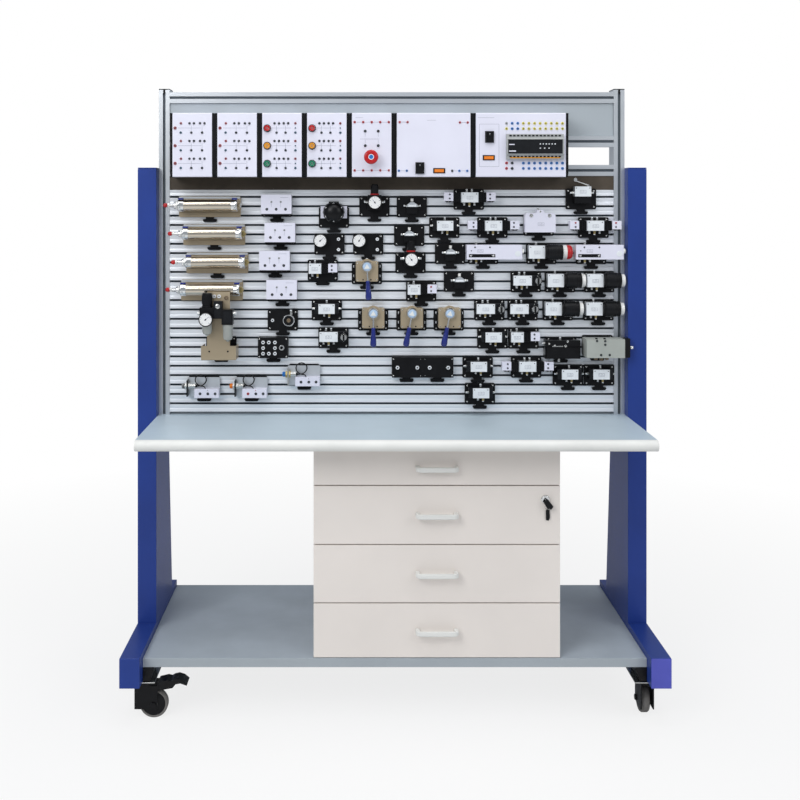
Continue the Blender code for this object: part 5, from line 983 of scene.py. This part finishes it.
def timer_valves(piece):
    face = MOUNT_Y - 0.036
    for shares, length in (((0.705, 7.15), 0.163), ((0.948, 7.15), 0.14)):
        x, z = place(*shares)
        clip_plate(piece, x, z)
        z += VALVE_LIFT
        start = x - 0.052
        end = start + length
        piece.box("case", (start, end), (face, MOUNT_Y), around(z, 0.043))
        slot_end = start + 0.084 * length / 0.163
        piece.box("black", (start + 0.006, slot_end), (face - 0.0006, face + 0.0003),
            (z - 0.015, z - 0.0055))
        for across in (start + 0.012, slot_end - 0.006):
            screw(piece, (across, z - 0.0102), face - 0.0006, 0.003, "chrome")
        for across in (start + 0.024, start + 0.068):
            hole(piece, (across, z + 0.0145), face, 0.0024)
        hole(piece, (start + 0.0135, z + 0.0042), face, 0.0016)
        symbol(piece, start + 0.04, z + 0.0035, 2, face, 0.0085)
        piece.disc("label", "Y", (end - 0.0125, z - 0.0045), 0.0085,
            (face - 0.0008, face + 0.0003), 28)
        knurled(piece, "knob", "X", (face + 0.0085, z + 0.003), 0.0078,
            (end - 0.0005, end + 0.0055), 18, 0.07)
        ports(piece, start + 0.03, z, 0.043, 1, 3)
    x, z = place(0.83, 4.14)
    clip_plate(piece, x, z)
    face = MOUNT_Y - 0.03
    low, high = z + 0.013 - 0.033, z + 0.013 + 0.033
    piece.prism("case", "Y", [(x - 0.045, low), (x + 0.045, low), (x + 0.045, high - 0.016),
        (x + 0.04, high - 0.009), (x + 0.012, high - 0.009), (x + 0.009, high), (x - 0.009, high),
        (x - 0.012, high - 0.009), (x - 0.04, high - 0.009), (x - 0.045, high - 0.016)],
        (face, MOUNT_Y))
    for across in (-0.027, 0.027):
        piece.turned("steel", "Y", (x + across, high - 0.0165), face,
            [(0, 0.4), (5.6, 0.4), (5.6, -1.2), (3, -1.6), (2.6, -0.4), (0, -0.4)], 24)
    screw(piece, (x, high - 0.0045), face, 0.0032)
    symbol(piece, x + 0.002, z + 0.004, 2, face, 0.009)
    fitting(piece, "Z", (x - 0.004, MOUNT_Y - 0.012), high - 0.001, 1, 0.0075)


def lever_valves(piece):
    face = MOUNT_Y - 0.03
    tilts = [math.radians(angle) for angle in (-3, 0, 11, 11)]
    for number, (shares, tilt) in enumerate(zip(((0.444, 9.29), (0.458, 14.21), (0.544, 14.21),
            (0.628, 14.21)), tilts)):
        x, z = place(*shares)
        clip_plate(piece, x, z)
        middle = z + 0.009
        piece.prism("champagne", "Y", shifted(x, middle, [(-33, -27), (-30, -30), (30, -30),
            (33, -27), (33, 27), (30, 30), (-30, 30), (-33, 27)]), (face + 0.0005, MOUNT_Y))
        piece.turned("champagne", "Y", (x, z + 0.0235), face, [(16.5, 0.8), (22.5, 0.8),
            (21.5, -0.4), (16.5, -0.4)], 40)
        for rise in (middle - 0.0245, middle + 0.0245):
            for across in (-0.0285, -0.0115, 0.0115, 0.0285):
                if abs(across) > 0.02 or rise < middle:
                    screw(piece, (x + across, rise), face + 0.0005, 0.0021, "black"
                        if abs(across) < 0.02 else "steel")
        for side in (-1, 1):
            for rise in (middle - 0.014, middle + 0.014):
                fitting(piece, "X", (MOUNT_Y - 0.013, rise), x + side * 0.033, side, 0.007,
                    "black", 0.0052)
        fitting(piece, "Z", (x, MOUNT_Y - 0.013), middle + 0.03, 1, 0.008, "steel", 0.0045)
        node = f"valve_lever_{number + 1}"
        lever = Piece(f"{node}_forged", 0.0)
        lever.turned("chrome", "Y", (0, 0), 0, [(0, 0), (16, 0), (16, -10.5), (14.8, -12.5),
            (12.6, -12.5), (12, -11), (0, -11)], 40)
        lever.turned("ice", "Y", (0, 0), 0, [(0, -10.8), (12.1, -10.8), (11, -12.2), (0, -13.6)],
            40)
        lever.prism("knob", "Y", shifted(0, 0, [(-8.5, -6), (8.5, -6), (0, 8.5)]), (-0.014, -0.012))
        axis = (0, -0.0095)
        lever.turned("chrome", "Z", axis, 0, [(0, -11.5), (3, -11.5), (2.7, -24), (3, -42.5),
            (0, -42.5)], 20)
        lever.turned("navy", "Z", axis, 0, [(0, -41.2), (4.6, -41.2), (6, -43), (5.8, -48),
            (6.6, -60), (8.2, -75), (9.5, -87), (9.1, -93), (7.2, -97.2), (4, -98.8), (0, -99)], 32)
        pivot = Matrix.Translation((x, face - 0.0003, z + 0.0235))
        bmesh.ops.transform(lever.mesh, matrix=pivot @ Matrix.Rotation(tilt, 4, "Y"),
            verts=lever.mesh.verts[:])
        lever.done("dark_blue_plastic", node, [node])


def cylinders(piece):
    for number, shares in enumerate(((0.091, 2.15), (0.101, 5.12), (0.108, 8.12), (0.096, 11.0))):
        x, z = place(*shares)
        # Painted reflection and shade: the plate and its lower strip are warm-toned as the shaded, reflecting
        # bottom of a plain silver plate, and the silver strip above is its lit top.
        clip_plate(piece, x, z, 0.184, (0,), "champagne")
        half = 0.0905
        piece.box("silver", (x - half, x + half), (PLATE_FRONT - 0.0035, PLATE_FRONT + 0.0005),
            (z + 0.0235, z + 0.03))
        piece.box("champagne", (x - half, x + half), (PLATE_FRONT - 0.005, PLATE_FRONT + 0.0005),
            (z - 0.03, z - 0.017))
        axis = (PANEL_Y - 0.051, z + 0.004)
        left, right = x - 0.075, x + 0.075
        nose, mouth = left - 0.012, left - 0.024
        # Painted reflection: the barrel's warm tint.
        piece.sleeve("barrel", "X", axis, (0.0146, 0.0165), (left, right), 48)
        piece.lathe("chrome", "X", axis, [(0.0052, left + 0.0005), (0.0178, left + 0.006),
            (0.0185, left + 0.0045), (0.0185, nose + 0.0015), (0.0172, nose), (0.0112, nose),
            (0.0105, mouth + 0.001), (0.0095, mouth), (0.0052, mouth)], 40)
        piece.sleeve("steel", "X", axis, (0.01, 0.0135), (nose - 0.001, nose - 0.006), 6)
        piece.turned("chrome", "X", axis, right, [(0, -0.5), (17.8, -6), (18.5, -4.5),
            (18.5, 10.5), (17.2, 12), (0, 12)], 40)
        eye = right + 0.018
        piece.box("champagne" if number == 0 else "brass", (right + 0.0115, right + 0.02),
            around(axis[0], 0.012), around(axis[1], 0.017))
        piece.sleeve("chrome" if number == 0 else "brass", "Y", (eye, axis[1]), (0.003, 0.0059),
            (axis[0] - 0.006, axis[0] + 0.006), 28)
        for middle in (nose + 0.006, right + 0.006):
            piece.box("champagne", around(middle, 0.016), (axis[0] + 0.0165, MOUNT_Y),
                around(axis[1], 0.03))
            piece.box("navy", around(middle + (0.002 if middle < x else -0.002), 0.016),
                around(axis[0], 0.012), (axis[1] + 0.0165, axis[1] + 0.0215))
            fitting(piece, "Y", (middle, axis[1] - 0.006), axis[0] - 0.0165, -1, 0.006, "steel",
                0.0038)
        node = f"cylinder_rod_{number + 1}"
        ends = box_of(node)[0]
        tip, back = ends
        rod = Piece(f"{node}_turned", 0.0)
        rod.turned("red", "X", axis, tip, [(0, 0), (3, 0.4), (5.8, 2.8), (7, 6.8), (6, 10.8),
            (3.6, 13.6), (0, 13.6)], 32)
        rod.disc("steel", "X", axis, 0.0066, (tip + 0.0134, tip + 0.02), 6)
        rod.disc("chrome", "X", axis, 0.0045, (tip + 0.0198, back - 0.0115), 28)
        rod.turned("black", "X", axis, back, [(0, -12), (13.6, -12), (14, -10), (13.2, -8),
            (13.2, -4), (14, -2), (13.6, 0), (0, 0)], 40)
        rod.done("bright_steel", node, [node])


def gauge(piece, x, z, back, radius=0.0205, depth=0.02, angle=2.3):
    """A pressure gauge: black case and bezel, pale dial with ticks and a needle."""
    front = back - depth
    piece.lathe("black", "Y", (x, z), [(0, back + 0.0003), (radius * 0.86, back + 0.0003),
        (radius * 0.9, front + 0.006), (radius, front + 0.0045), (radius, front + 0.0008),
        (radius * 0.94, front), (radius * 0.87, front + 0.0014), (0, front + 0.0014)], 48)
    piece.disc("dial", "Y", (x, z), radius * 0.86, (front + 0.0009, front + 0.0016), 48)
    face = (front + 0.0006, front + 0.0012)
    for number in range(13):
        turn = math.radians(-45 + number * 22.5)
        unit = Vector((math.cos(turn), math.sin(turn)))
        across = Vector((-unit.y, unit.x)) * (0.00035 if number % 3 else 0.0006)
        inner, outer = unit * radius * (0.7 if number % 3 else 0.6), unit * radius * 0.8
        outline = [inner - across, inner + across, outer + across, outer - across]
        piece.prism("print", "Y", [(x + p.x, z + p.y) for p in outline], face)
    unit = Vector((math.cos(angle), math.sin(angle)))
    across = Vector((-unit.y, unit.x)) * 0.0007
    outline = [-unit * radius * 0.22 - across, unit * radius * 0.66 - across * 0.3,
        unit * radius * 0.66 + across * 0.3, -unit * radius * 0.22 + across]
    piece.prism("navy", "Y", [(x + p.x, z + p.y) for p in outline],
        (front + 0.0002, front + 0.0008))
    piece.disc("black", "Y", (x, z), radius * 0.11, (front, front + 0.001), 16)


def regulators(piece):
    for number, shares in enumerate(((0.36, 6.15), (0.447, 6.15))):
        x, z = place(*shares)
        clip_plate(piece, x, z)
        gauge(piece, x - 0.027, z + 0.01116, MOUNT_Y, angle=0.75 + 0.25 * number)
        for rise in (-0.0155, 0.0155):
            piece.disc("steel", "Y", (x + 0.027, z + rise), 0.0058,
                (PLATE_FRONT + 0.0003, PLATE_FRONT - 0.0045), 6)
            piece.sleeve("label", "Y", (x + 0.027, z + rise), (0.002, 0.0046),
                (PLATE_FRONT - 0.004, PLATE_FRONT - 0.0095), 24)
    for number, shares in enumerate(((0.461, 2.13), (0.542, 8.12))):
        x, z = place(*shares)
        clip_plate(piece, x, z)
        z += 0.012
        body_front = MOUNT_Y - 0.04
        piece.box("black", around(x, 0.04), (body_front, MOUNT_Y), (z - 0.022, z + 0.022))
        gauge(piece, x, z, body_front, angle=2.2)
        for side in (-1, 1):
            fitting(piece, "X", (MOUNT_Y - 0.02, z + 0.002), x + side * 0.02, side, 0.011, "steel",
                0.0046)
        axis = (x, MOUNT_Y - 0.026)
        ring_z = z + 0.022
        piece.turned("red", "Z", axis, ring_z, [(0, -0.5), (13.5, -0.5), (13.5, 3.2), (12.7, 4),
            (0, 4)], 36)
        node = f"regulator_knob_{number + 1}"
        z_ends = box_of(node)[2]
        knob = Piece(f"{node}_ribbed", 0.0004)
        knurled(knob, "black", "Z", axis, 0.0115, (z_ends[0], z_ends[1] - 0.006), 22, 0.06)
        knob.turned("black", "Z", axis, z_ends[1], [(0, -6.2), (10.4, -6.2), (10.4, -1.5), (9, 0),
            (0, 0)], 32)
        knob.done("black_plastic", node, [node])
    x, z = place(0.37, 3.3)
    clip_plate(piece, x, z)
    z += 0.016
    face = MOUNT_Y - 0.022
    piece.box("black", around(x, 0.062), (face + 0.002, MOUNT_Y), around(z, 0.036))
    piece.box("case", around(x, 0.078), (face, face + 0.0025), around(z, 0.036))
    piece.box("black", around(x, 0.03), (face + 0.002, MOUNT_Y), (z + 0.017, z + 0.0315))
    node = "regulator_knob_3"
    y = box_of(node)[1]
    knob = Piece(f"{node}_domed", 0.0006)
    knurled(knob, "black", "Y", (x, z), 0.032, (y[0] + 0.024, y[1]), 16, 0.045)
    knob.turned("black", "Y", (x, z), y[0], [(0, 24.5), (30, 24.5), (30, 20), (27.5, 13),
        (21.5, 6), (12.5, 1.5), (0, 0)], 40)
    for number in range(6):
        turn = math.radians(30 + 60 * number)
        centre = (x + 0.0258 * math.cos(turn), z + 0.0258 * math.sin(turn))
        knob.turned("chrome", "Y", centre, y[0], [(0, 18), (2.6, 18), (2.6, 11.8), (1.8, 11),
            (0, 11)], 16)
    knob.done("black_plastic", node, [node])


def service_unit():
    """Filter, regulator and lubricator on a folded bracket, with ports, a gauge and two bowls."""
    piece = Piece("service_unit_parts", 0.0009)
    x, plate_z = place(0.117, 17.04)
    clip_plate(piece, x, plate_z)
    low = plate_z - PLATE_HEIGHT / 2
    front, top = PANEL_Y - 0.075, low + 0.2
    wall = 0.0025
    foot = (x - 0.051, x + 0.051)
    piece.box("champagne", foot, (front, front + wall), (low + 0.002, low + 0.042))
    piece.box("champagne", foot, (front + wall, MOUNT_Y), (low, low + wall))
    for side in ((foot[0], foot[0] + wall), (foot[1] - wall, foot[1])):
        piece.prism("champagne", "X", [(front + wall, low + wall), (MOUNT_Y, low + wall),
            (MOUNT_Y, low + 0.04), (front + wall, low + 0.04)], side)
    for across in (-0.027, 0.027):
        screw(piece, (x + across, low + 0.026), front, 0.0026, "black")
        piece.disc("steel", "Z", (x + across, front + 0.02), 0.0045, (low + wall, low + 0.008), 6)
    plate_x = (x - 0.0335, x + 0.0335)
    piece.box("champagne", plate_x, (front, front + 0.003), (low + 0.0415, top))
    for centre in ((x - 0.012, top - 0.013), (x + 0.002, top - 0.013)):
        piece.sleeve("label", "Y", centre, (0.0024, 0.0052), (front + 0.0005, front - 0.005), 24)
    piece.turned("tan", "Y", (x + 0.0225, top - 0.018), front,
        [(2.6, 0.5), (6.6, 0.5), (6, -4), (2.6, -4)], 28)
    body_y = (front - 0.032, front + 0.0005)
    middle_y = sum(body_y) / 2
    filter_x, filter_top = x - 0.031, top - 0.04
    filter_low = filter_top - 0.036
    piece.box("black", around(filter_x, 0.04), body_y, (filter_low, filter_top - 0.004))
    piece.disc("black", "Z", (filter_x, middle_y), 0.0158, (filter_top - 0.0045, filter_top), 40)
    gauge(piece, filter_x, filter_low, body_y[0], angle=0.7)
    bowl = [(0, 0.001), (0.015, 0.001), (0.0155, -0.004), (0.0155, -0.012), (0.0142, -0.014),
        (0.0142, -0.036), (0.012, -0.044), (0.006, -0.047), (0.004, -0.05), (0, -0.05)]
    link_left = filter_x + 0.02
    piece.box("coil", (link_left - 0.0005, link_left + 0.024), (body_y[0] + 0.004, body_y[1]),
        (filter_low, filter_low + 0.05))
    piece.turned("steel", "Y", (link_left + 0.012, filter_low + 0.036), body_y[0],
        [(0, 4.5), (7, 4.5), (7, 1), (5, 0), (0, 0)], 28)
    lube_x = link_left + 0.024 + 0.016
    lube_top = filter_top - 0.009
    lube_low = lube_top - 0.044
    piece.box("black", (lube_x - 0.0165, lube_x + 0.016), body_y, (lube_low, lube_top))
    piece.box("coil", around(lube_x, 0.022), (body_y[0] - 0.0008, body_y[0] + 0.0005),
        (lube_low + 0.006, lube_top - 0.006))
    for centre_x, base in ((filter_x, filter_low), (lube_x, lube_low)):
        piece.lathe("bowl", "Z", (centre_x, middle_y), [(radius, base + rise) for radius,
            rise in bowl], 40)
    for side, start in ((-1, filter_x - 0.02), (1, lube_x + 0.016)):
        fitting(piece, "X", (middle_y, filter_low + 0.014), start, side, 0.009, "steel", 0.0062)
    piece.done("black_plastic", replaces=["service_unit"])
    node = "filter_knob"
    z_ends = box_of(node)[2]
    knob = Piece(f"{node}_ribbed", 0.0005)
    knurled(knob, "black", "Z", (filter_x, middle_y), 0.0155,
        (z_ends[0] + 0.006, z_ends[1] - 0.008), 26, 0.05)
    knob.disc("black", "Z", (filter_x, middle_y), 0.014, (z_ends[0], z_ends[0] + 0.0065), 40)
    knob.turned("black", "Z", (filter_x, middle_y), z_ends[1],
        [(0, -8.5), (14.6, -8.5), (14.6, -2.5), (12.2, 0), (0, 0)], 40)
    knob.done("black_plastic", node, [node])


def distribution(piece):
    for shares in ((0.242, 2.13), (0.25, 5.1), (0.238, 8.05), (0.254, 11.11)):
        x, z = place(*shares)
        clip_plate(piece, x, z)
        face, middle = MOUNT_Y - 0.034, z + 0.005
        piece.box("case", around(x, 0.09), (face, MOUNT_Y - 0.004), (middle - 0.027, middle + 0.03))
        piece.box("black", around(x, 0.088), (face + 0.001, MOUNT_Y),
            (middle - 0.03, middle - 0.0265))
        for across in (-0.014, 0.0135):
            hole(piece, (x + across, middle + 0.0085), face, 0.003, "grey")
        for across in (-0.0275, 0.0, 0.0275):
            hole(piece, (x + across, middle - 0.013), face, 0.004)
        for across in (-0.014, 0.0135):
            piece.box("print", around(x + across, 0.0005), (face - 0.0003, face + 0.0002),
                (middle - 0.0075, middle + 0.004))
        piece.box("print", (x + 0.012, x + 0.036), (face - 0.0003, face + 0.0002),
            around(middle + 0.0215, 0.0006))
    x, z = place(0.255, 14.21)
    clip_plate(piece, x, z)
    piece.turned("chrome", "Y", (x + 0.018, z), PLATE_FRONT, [(14, 0.5), (18, 0.5), (18, -12),
        (16.8, -13.5), (14.8, -13.5), (14, -12)], 44)
    piece.disc("black", "Y", (x + 0.018, z), 0.0142, (PLATE_FRONT - 0.01, PLATE_FRONT + 0.0004), 40)
    piece.turned("tan", "Y", (x + 0.018, z), PLATE_FRONT, [(0, -9.5), (6.2, -9.5), (5.5, -12.8),
        (2, -12.8), (1.6, -11), (0, -11)], 24)
    fitting(piece, "Z", (x + 0.025, PLATE_FRONT - 0.006), z + 0.0165, 1, 0.015, "steel", 0.0048)
    port(piece, (x - 0.03, z), PLATE_FRONT)
    x, z = place(0.234, 17.05)
    clip_plate(piece, x, z)
    face = MOUNT_Y - 0.022
    piece.box("plate", around(x, 0.089), (face, PLATE_FRONT + 0.0005), around(z, 0.061))
    for across in (-0.04, 0.04):
        for rise in (-0.026, 0.026):
            screw(piece, (x + across, z + rise), face, 0.0022)
    for across in (-0.0285, -0.0115, 0.0065):
        for rise in (-0.0165, 0.0, 0.0165):
            if across != -0.0115 or rise:
                port(piece, (x + across, z + rise), face, 0.0062)
    piece.turned("chrome", "Y", (x + 0.0265, z + 0.001), face,
        [(4.5, 0.4), (8.8, 0.4), (8.8, -6), (7.8, -8), (4.5, -8)], 32)
    x, z = place(0.569, 19.17)
    clip_plate(piece, x, z, 0.183, (-0.26, 0.24))
    face = MOUNT_Y - 0.012
    piece.box("plate", around(x, 0.182), (face, PLATE_FRONT + 0.0005), around(z, 0.061))
    for share in (0.09, 0.41, 0.61, 0.91):
        port(piece, (x + (share - 0.5) * 0.183, z), face, 0.0066)
    for across in (-0.087, -0.0065, 0.0065, 0.087):
        for rise in (-0.0245, 0.0245):
            screw(piece, (x + across, z + rise), face, 0.0022 if abs(across) > 0.05 else 0.0013)


def port(piece, centre, face, radius=0.0058):
    """A brass-like port: hexagon with a pale release ring and a dark mouth."""
    piece.disc("steel", "Y", centre, radius, (face + 0.0004, face - 0.0045), 6)
    piece.lathe("label", "Y", centre, [(radius * 0.4, face - 0.004), (radius * 0.78, face - 0.004),
        (radius * 0.74, face - 0.009), (radius * 0.4, face - 0.009)], 24)
    piece.disc("black", "Y", centre, radius * 0.42, (face - 0.006, face - 0.0035), 16)


def blocks(piece):
    x, z = place(0.88, 17.1)
    clip_plate(piece, x, z)
    face = MOUNT_Y - 0.04
    left, right = x - 0.052, x + 0.052
    piece.box("black", (left, right), (face + 0.01, MOUNT_Y), (z - 0.03, z + 0.024))
    piece.box("plate", (left + 0.004, right - 0.004), (face, face + 0.0105), (z - 0.026, z + 0.004))
    piece.box("steel", (left + 0.02, left + 0.052), around(face + 0.007, 0.004),
        around(z + 0.007, 0.003))
    for across, rise, radius in ((0.028, 0.009, 0.0034), (0.06, 0.007, 0.0046),
            (0.066, 0.021, 0.0036), (0.012, 0.014, 0.003)):
        screw(piece, (left + across, z + rise), face + 0.01, radius)
    for across in (0.006, 0.098):
        screw(piece, (left + across, z - 0.024), face + 0.01, 0.0022)
    fitting(piece, "X", (MOUNT_Y - 0.02, z + 0.014), left, -1, 0.008)
    fitting(piece, "Z", (left + 0.042, MOUNT_Y - 0.018), z - 0.03, -1, 0.01, "steel", 0.0044)
    fitting(piece, "Z", (left + 0.046, MOUNT_Y - 0.018), z + 0.024, 1, 0.009, "steel", 0.0044)
    x, z = place(0.962, 16.9)
    clip_plate(piece, x, z)
    body_y = (MOUNT_Y - 0.062, MOUNT_Y)
    left, end = x - 0.045, x + 0.067
    piece.box("stone", (left, end), body_y, (z - 0.029, z + 0.025))
    for across, rise in ((0.03, 0.021), (0.054, 0.0205), (0.042, -0.02), (0.067, -0.02),
            (0.054, 0.01)):
        hole(piece, (left + across, z + rise), body_y[0], 0.0034)
    for across in (0.03, 0.054):
        piece.disc("black", "Z", (left + across, body_y[0] + 0.009), 0.0036,
            (z + 0.0245, z + 0.029), 16)
    cap_y = (body_y[0], sum(body_y) / 2)
    piece.box("black", (end - 0.0005, end + 0.015), cap_y, around(z, 0.056))
    piece.disc("black", "X", (sum(cap_y) / 2, z), 0.0072, (end + 0.0145, end + 0.019), 28)
    piece.turned("chrome", "X", (sum(cap_y) / 2, z), end, [(0, 18.5), (5.2, 18.5), (6, 22.5),
        (4.8, 26.5), (0, 27)], 28)
    for number, across in enumerate((0.03, 0.046, 0.062)):
        piece.lathe("tan", "Z", (left + across, body_y[0] + 0.016),
            [(0, z - 0.0285), (0.0056, z - 0.0285), (0.0062, z - 0.033),
            (0.005, z - 0.036 - 0.002 * (number % 2)), (0, z - 0.036 - 0.002 * (number % 2))], 24)


def sensors(piece):
    """Sensors in bent brackets, each with a looped cable to its socket block."""
    heads = (("grey", "steel", "black"), ("orange", "steel", "red"), ("cyan", "brass", "black"))
    planks = ("panel_plank_6", "panel_plank_6", "panel_plank_5")
    for number, shares in enumerate(((0.078, 21.22), (0.185, 21.22), (0.303, 19.98))):
        head, nut, first = heads[number]
        x, z = place(*shares)
        clip_plate(piece, x, z)
        low, back = z - PLATE_HEIGHT / 2, MOUNT_Y - 0.004
        left, right = x - 0.048, x + 0.048
        piece.box("silver", (left, right), (back, MOUNT_Y), (low, low + 0.058))
        front, top = back - 0.022, low + 0.027
        piece.box("case", (right - 0.073, right - 0.001), (front, back + 0.0005), (low, top))
        for index, across in enumerate((-0.056, -0.033, -0.0115)):
            hole(piece, (right + across, low + 0.0125), front, 0.004, first
                if index == 0 else "black")
        screw(piece, (right - 0.034, low + 0.0225), front, 0.0012, "red"
            if number == 1 else "steel")
        ear = (left, left + 0.0035)
        piece.box("black" if number < 2 else "steel", ear, (front - 0.002, back + 0.0005),
            (low + 0.004, low + 0.052))
        axis = (back - 0.011, top + 0.007)
        piece.turned(head, "X", axis, left, [(0, -15.3), (6, -15.3), (7.2, -14), (7.2, -2),
            (0, -2)], 36)
        piece.sleeve(nut, "X", axis, (0.006, 0.0104), (left - 0.006, left - 0.0008), 6)
        for turn in range(3):
            start = left - 0.0125 + turn * 0.0022
            piece.turned("black" if number == 0 else head, "X", axis, start,
                [(7, 0), (8, 0.4), (8, 1), (7, 1.4)], 36)
        piece.disc("steel", "X", axis, 0.007, (left + 0.003, left + 0.025), 32)
        piece.sleeve(nut, "X", axis, (0.006, 0.0104), (left + 0.0038, left + 0.0088), 6)
        tail = left + 0.03
        piece.lathe("black", "X", axis, [(0, left + 0.0245), (0.005, left + 0.0245), (0.003, tail),
            (0, tail)], 24)
        route = cable_route(tail - 0.001, axis)
        cable = Piece(f"sensor_cable_{number + 1}", 0.0)
        cable.tube("black", route, 0.0017, 12)
        made = cable.done("black_plastic", replaces=[planks[number]])


def cable_route(tail, axis):
    """Out of the sensor, once round a rising loop, and down into the block's top."""
    start = Vector((tail, *axis))
    centre = start + Vector((0.008, 0, 0.017))
    route = [start, start + Vector((0.004, 0, 0))]
    for step in range(1, 34):
        turn = step / 33
        angle = -math.pi / 2 + 2 * math.pi * turn
        shift = 0.01 * turn - 0.002 * (1 - turn)
        route.append(Vector((centre.x + 0.019 * math.cos(angle) + shift, centre.y - 0.006 * turn,
            centre.z + 0.017 * math.sin(angle))))
    last = route[-1]
    for step in range(1, 8):
        angle = math.pi / 2 * step / 7
        route.append(Vector((last.x + 0.0075 * math.sin(angle), last.y,
            last.z - 0.0075 * (1 - math.cos(angle)))))
    return route


def panel_parts():
    """All the components on the slotted panel, by kind."""
    for name, builder in (("solenoid_valves", solenoid_valves), ("pilot_valves", pilot_valves),
            ("selector_valves", selector_valves), ("push_valves", push_valves),
            ("throttle_valves", throttle_valves), ("roller_valve", roller_valve),
            ("timer_valves", timer_valves), ("lever_valves", lever_valves),
            ("cylinders", cylinders), ("regulators", regulators), ("distribution", distribution),
            ("blocks", blocks), ("sensors", sensors)):
        group = Piece(f"{name}_parts", 0.0005)
        builder(group)
        group.done("black_plastic")


# What the camera and the floor see: lens, place, and lamps with their place, aim height, size and power
LENS = 48.7
LENS_SHIFT = (0.0575, -0.244)
CAMERA_PLACE = (-0.1125, -3.21, 1.43)
LAMPS = {
    "key": ((-2.3, -3.2, 3.2), 1.0, 2.2, 84),
    "fill": ((3.0, -2.6, 2.8), 0.9, 2.2, 34),
    "top": ((0, -0.8, 3.6), 1.0, 2.0, 38),
}
FLOOR_HALF = 9


def lights():
    for name, (place_of, aim, size, power) in LAMPS.items():
        lamp = bpy.data.lights.new(name, "AREA")
        lamp.shape = "SQUARE"
        lamp.size = size
        lamp.energy = power
        light = bpy.data.objects.new(name, lamp)
        light.location = place_of
        toward = Vector((0, 0, aim)) - Vector(place_of)
        light.rotation_euler = toward.to_track_quat("-Z", "Y").to_euler()
        bpy.context.scene.collection.objects.link(light)


def backdrop():
    """Soft light all round, and white where the camera looks past the object."""
    world = bpy.data.worlds.new("studio")
    bpy.context.scene.world = world
    world.use_nodes = True
    tree = world.node_tree
    soft = tree.nodes["Background"]
    soft.inputs["Color"].default_value = (0.86, 0.92, 1.0, 1)
    soft.inputs["Strength"].default_value = 0.42
    plain = node_in(tree, "Background", Color=(1, 1, 1, 1))
    choice = node_in(tree, "MixShader")
    tree.links.new(node_in(tree, "LightPath").outputs["Is Camera Ray"], choice.inputs[0])
    tree.links.new(soft.outputs[0], choice.inputs[1])
    tree.links.new(plain.outputs[0], choice.inputs[2])
    tree.links.new(choice.outputs[0], tree.nodes["World Output"].inputs["Surface"])


def floor():
    """A pale floor that keeps the shadow near the object and fades to white."""
    half = FLOOR_HALF
    mesh = bpy.data.meshes.new("floor")
    corners = [(-half, -half, 0), (half, -half, 0), (half, half, 0), (-half, half, 0)]
    mesh.from_pydata(corners, [], [(0, 1, 2, 3)])
    ground = bpy.data.objects.new("floor", mesh)
    bpy.context.scene.collection.objects.link(ground)
    pale = bpy.data.materials.new("floor_pale")
    pale.use_nodes = True
    tree = pale.node_tree
    shader = tree.nodes["Principled BSDF"]
    shader.inputs["Base Color"].default_value = (0.8, 0.8, 0.8, 1)
    shader.inputs["Roughness"].default_value = 0.7
    glow = node_in(tree, "Emission", Color=(1, 1, 1, 1))
    away = node_in(tree, "VectorMath")
    away.operation = "LENGTH"
    fade = node_in(tree, "MapRange", From_Min=1.0, From_Max=3.0, To_Min=0.8)
    share = node_in(tree, "Math")
    share.operation = "MULTIPLY"
    mix = node_in(tree, "MixShader")
    for source, target in ((node_in(tree, "TexCoord").outputs["Object"], away.inputs[0]),
            (away.outputs["Value"], fade.inputs["Value"]), (node_in(tree,
            "LightPath").outputs["Is Camera Ray"], share.inputs[0]),
            (fade.outputs["Result"], share.inputs[1]), (share.outputs[0], mix.inputs[0]),
            (shader.outputs[0], mix.inputs[1]), (glow.outputs[0], mix.inputs[2]),
            (mix.outputs[0], tree.nodes["Material Output"].inputs["Surface"])):
        tree.links.new(source, target)
    mesh.materials.append(pale)


def studio():
    """Plain pale floor and backdrop, soft light, and the photograph's camera."""
    scene = bpy.context.scene
    scene.view_settings.view_transform = "Standard"
    lens = bpy.data.cameras.new("camera")
    lens.lens = LENS
    lens.sensor_width = 36
    lens.shift_x, lens.shift_y = LENS_SHIFT
    camera = bpy.data.objects.new("camera", lens)
    camera.location = CAMERA_PLACE
    camera.rotation_euler = (math.pi / 2, 0, 0)
    scene.collection.objects.link(camera)
    scene.camera = camera
    lights()
    backdrop()
    floor()


studio()
side_frames()
boards()
cabinet()
casters()
upper_frame()
panel()
electric_boxes()
panel_parts()
service_unit()
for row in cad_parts.values():
    for slot in row.material_slots:
        if slot.material is None or not slot.material.use_nodes:
            slot.material = FINISHES["plate"]
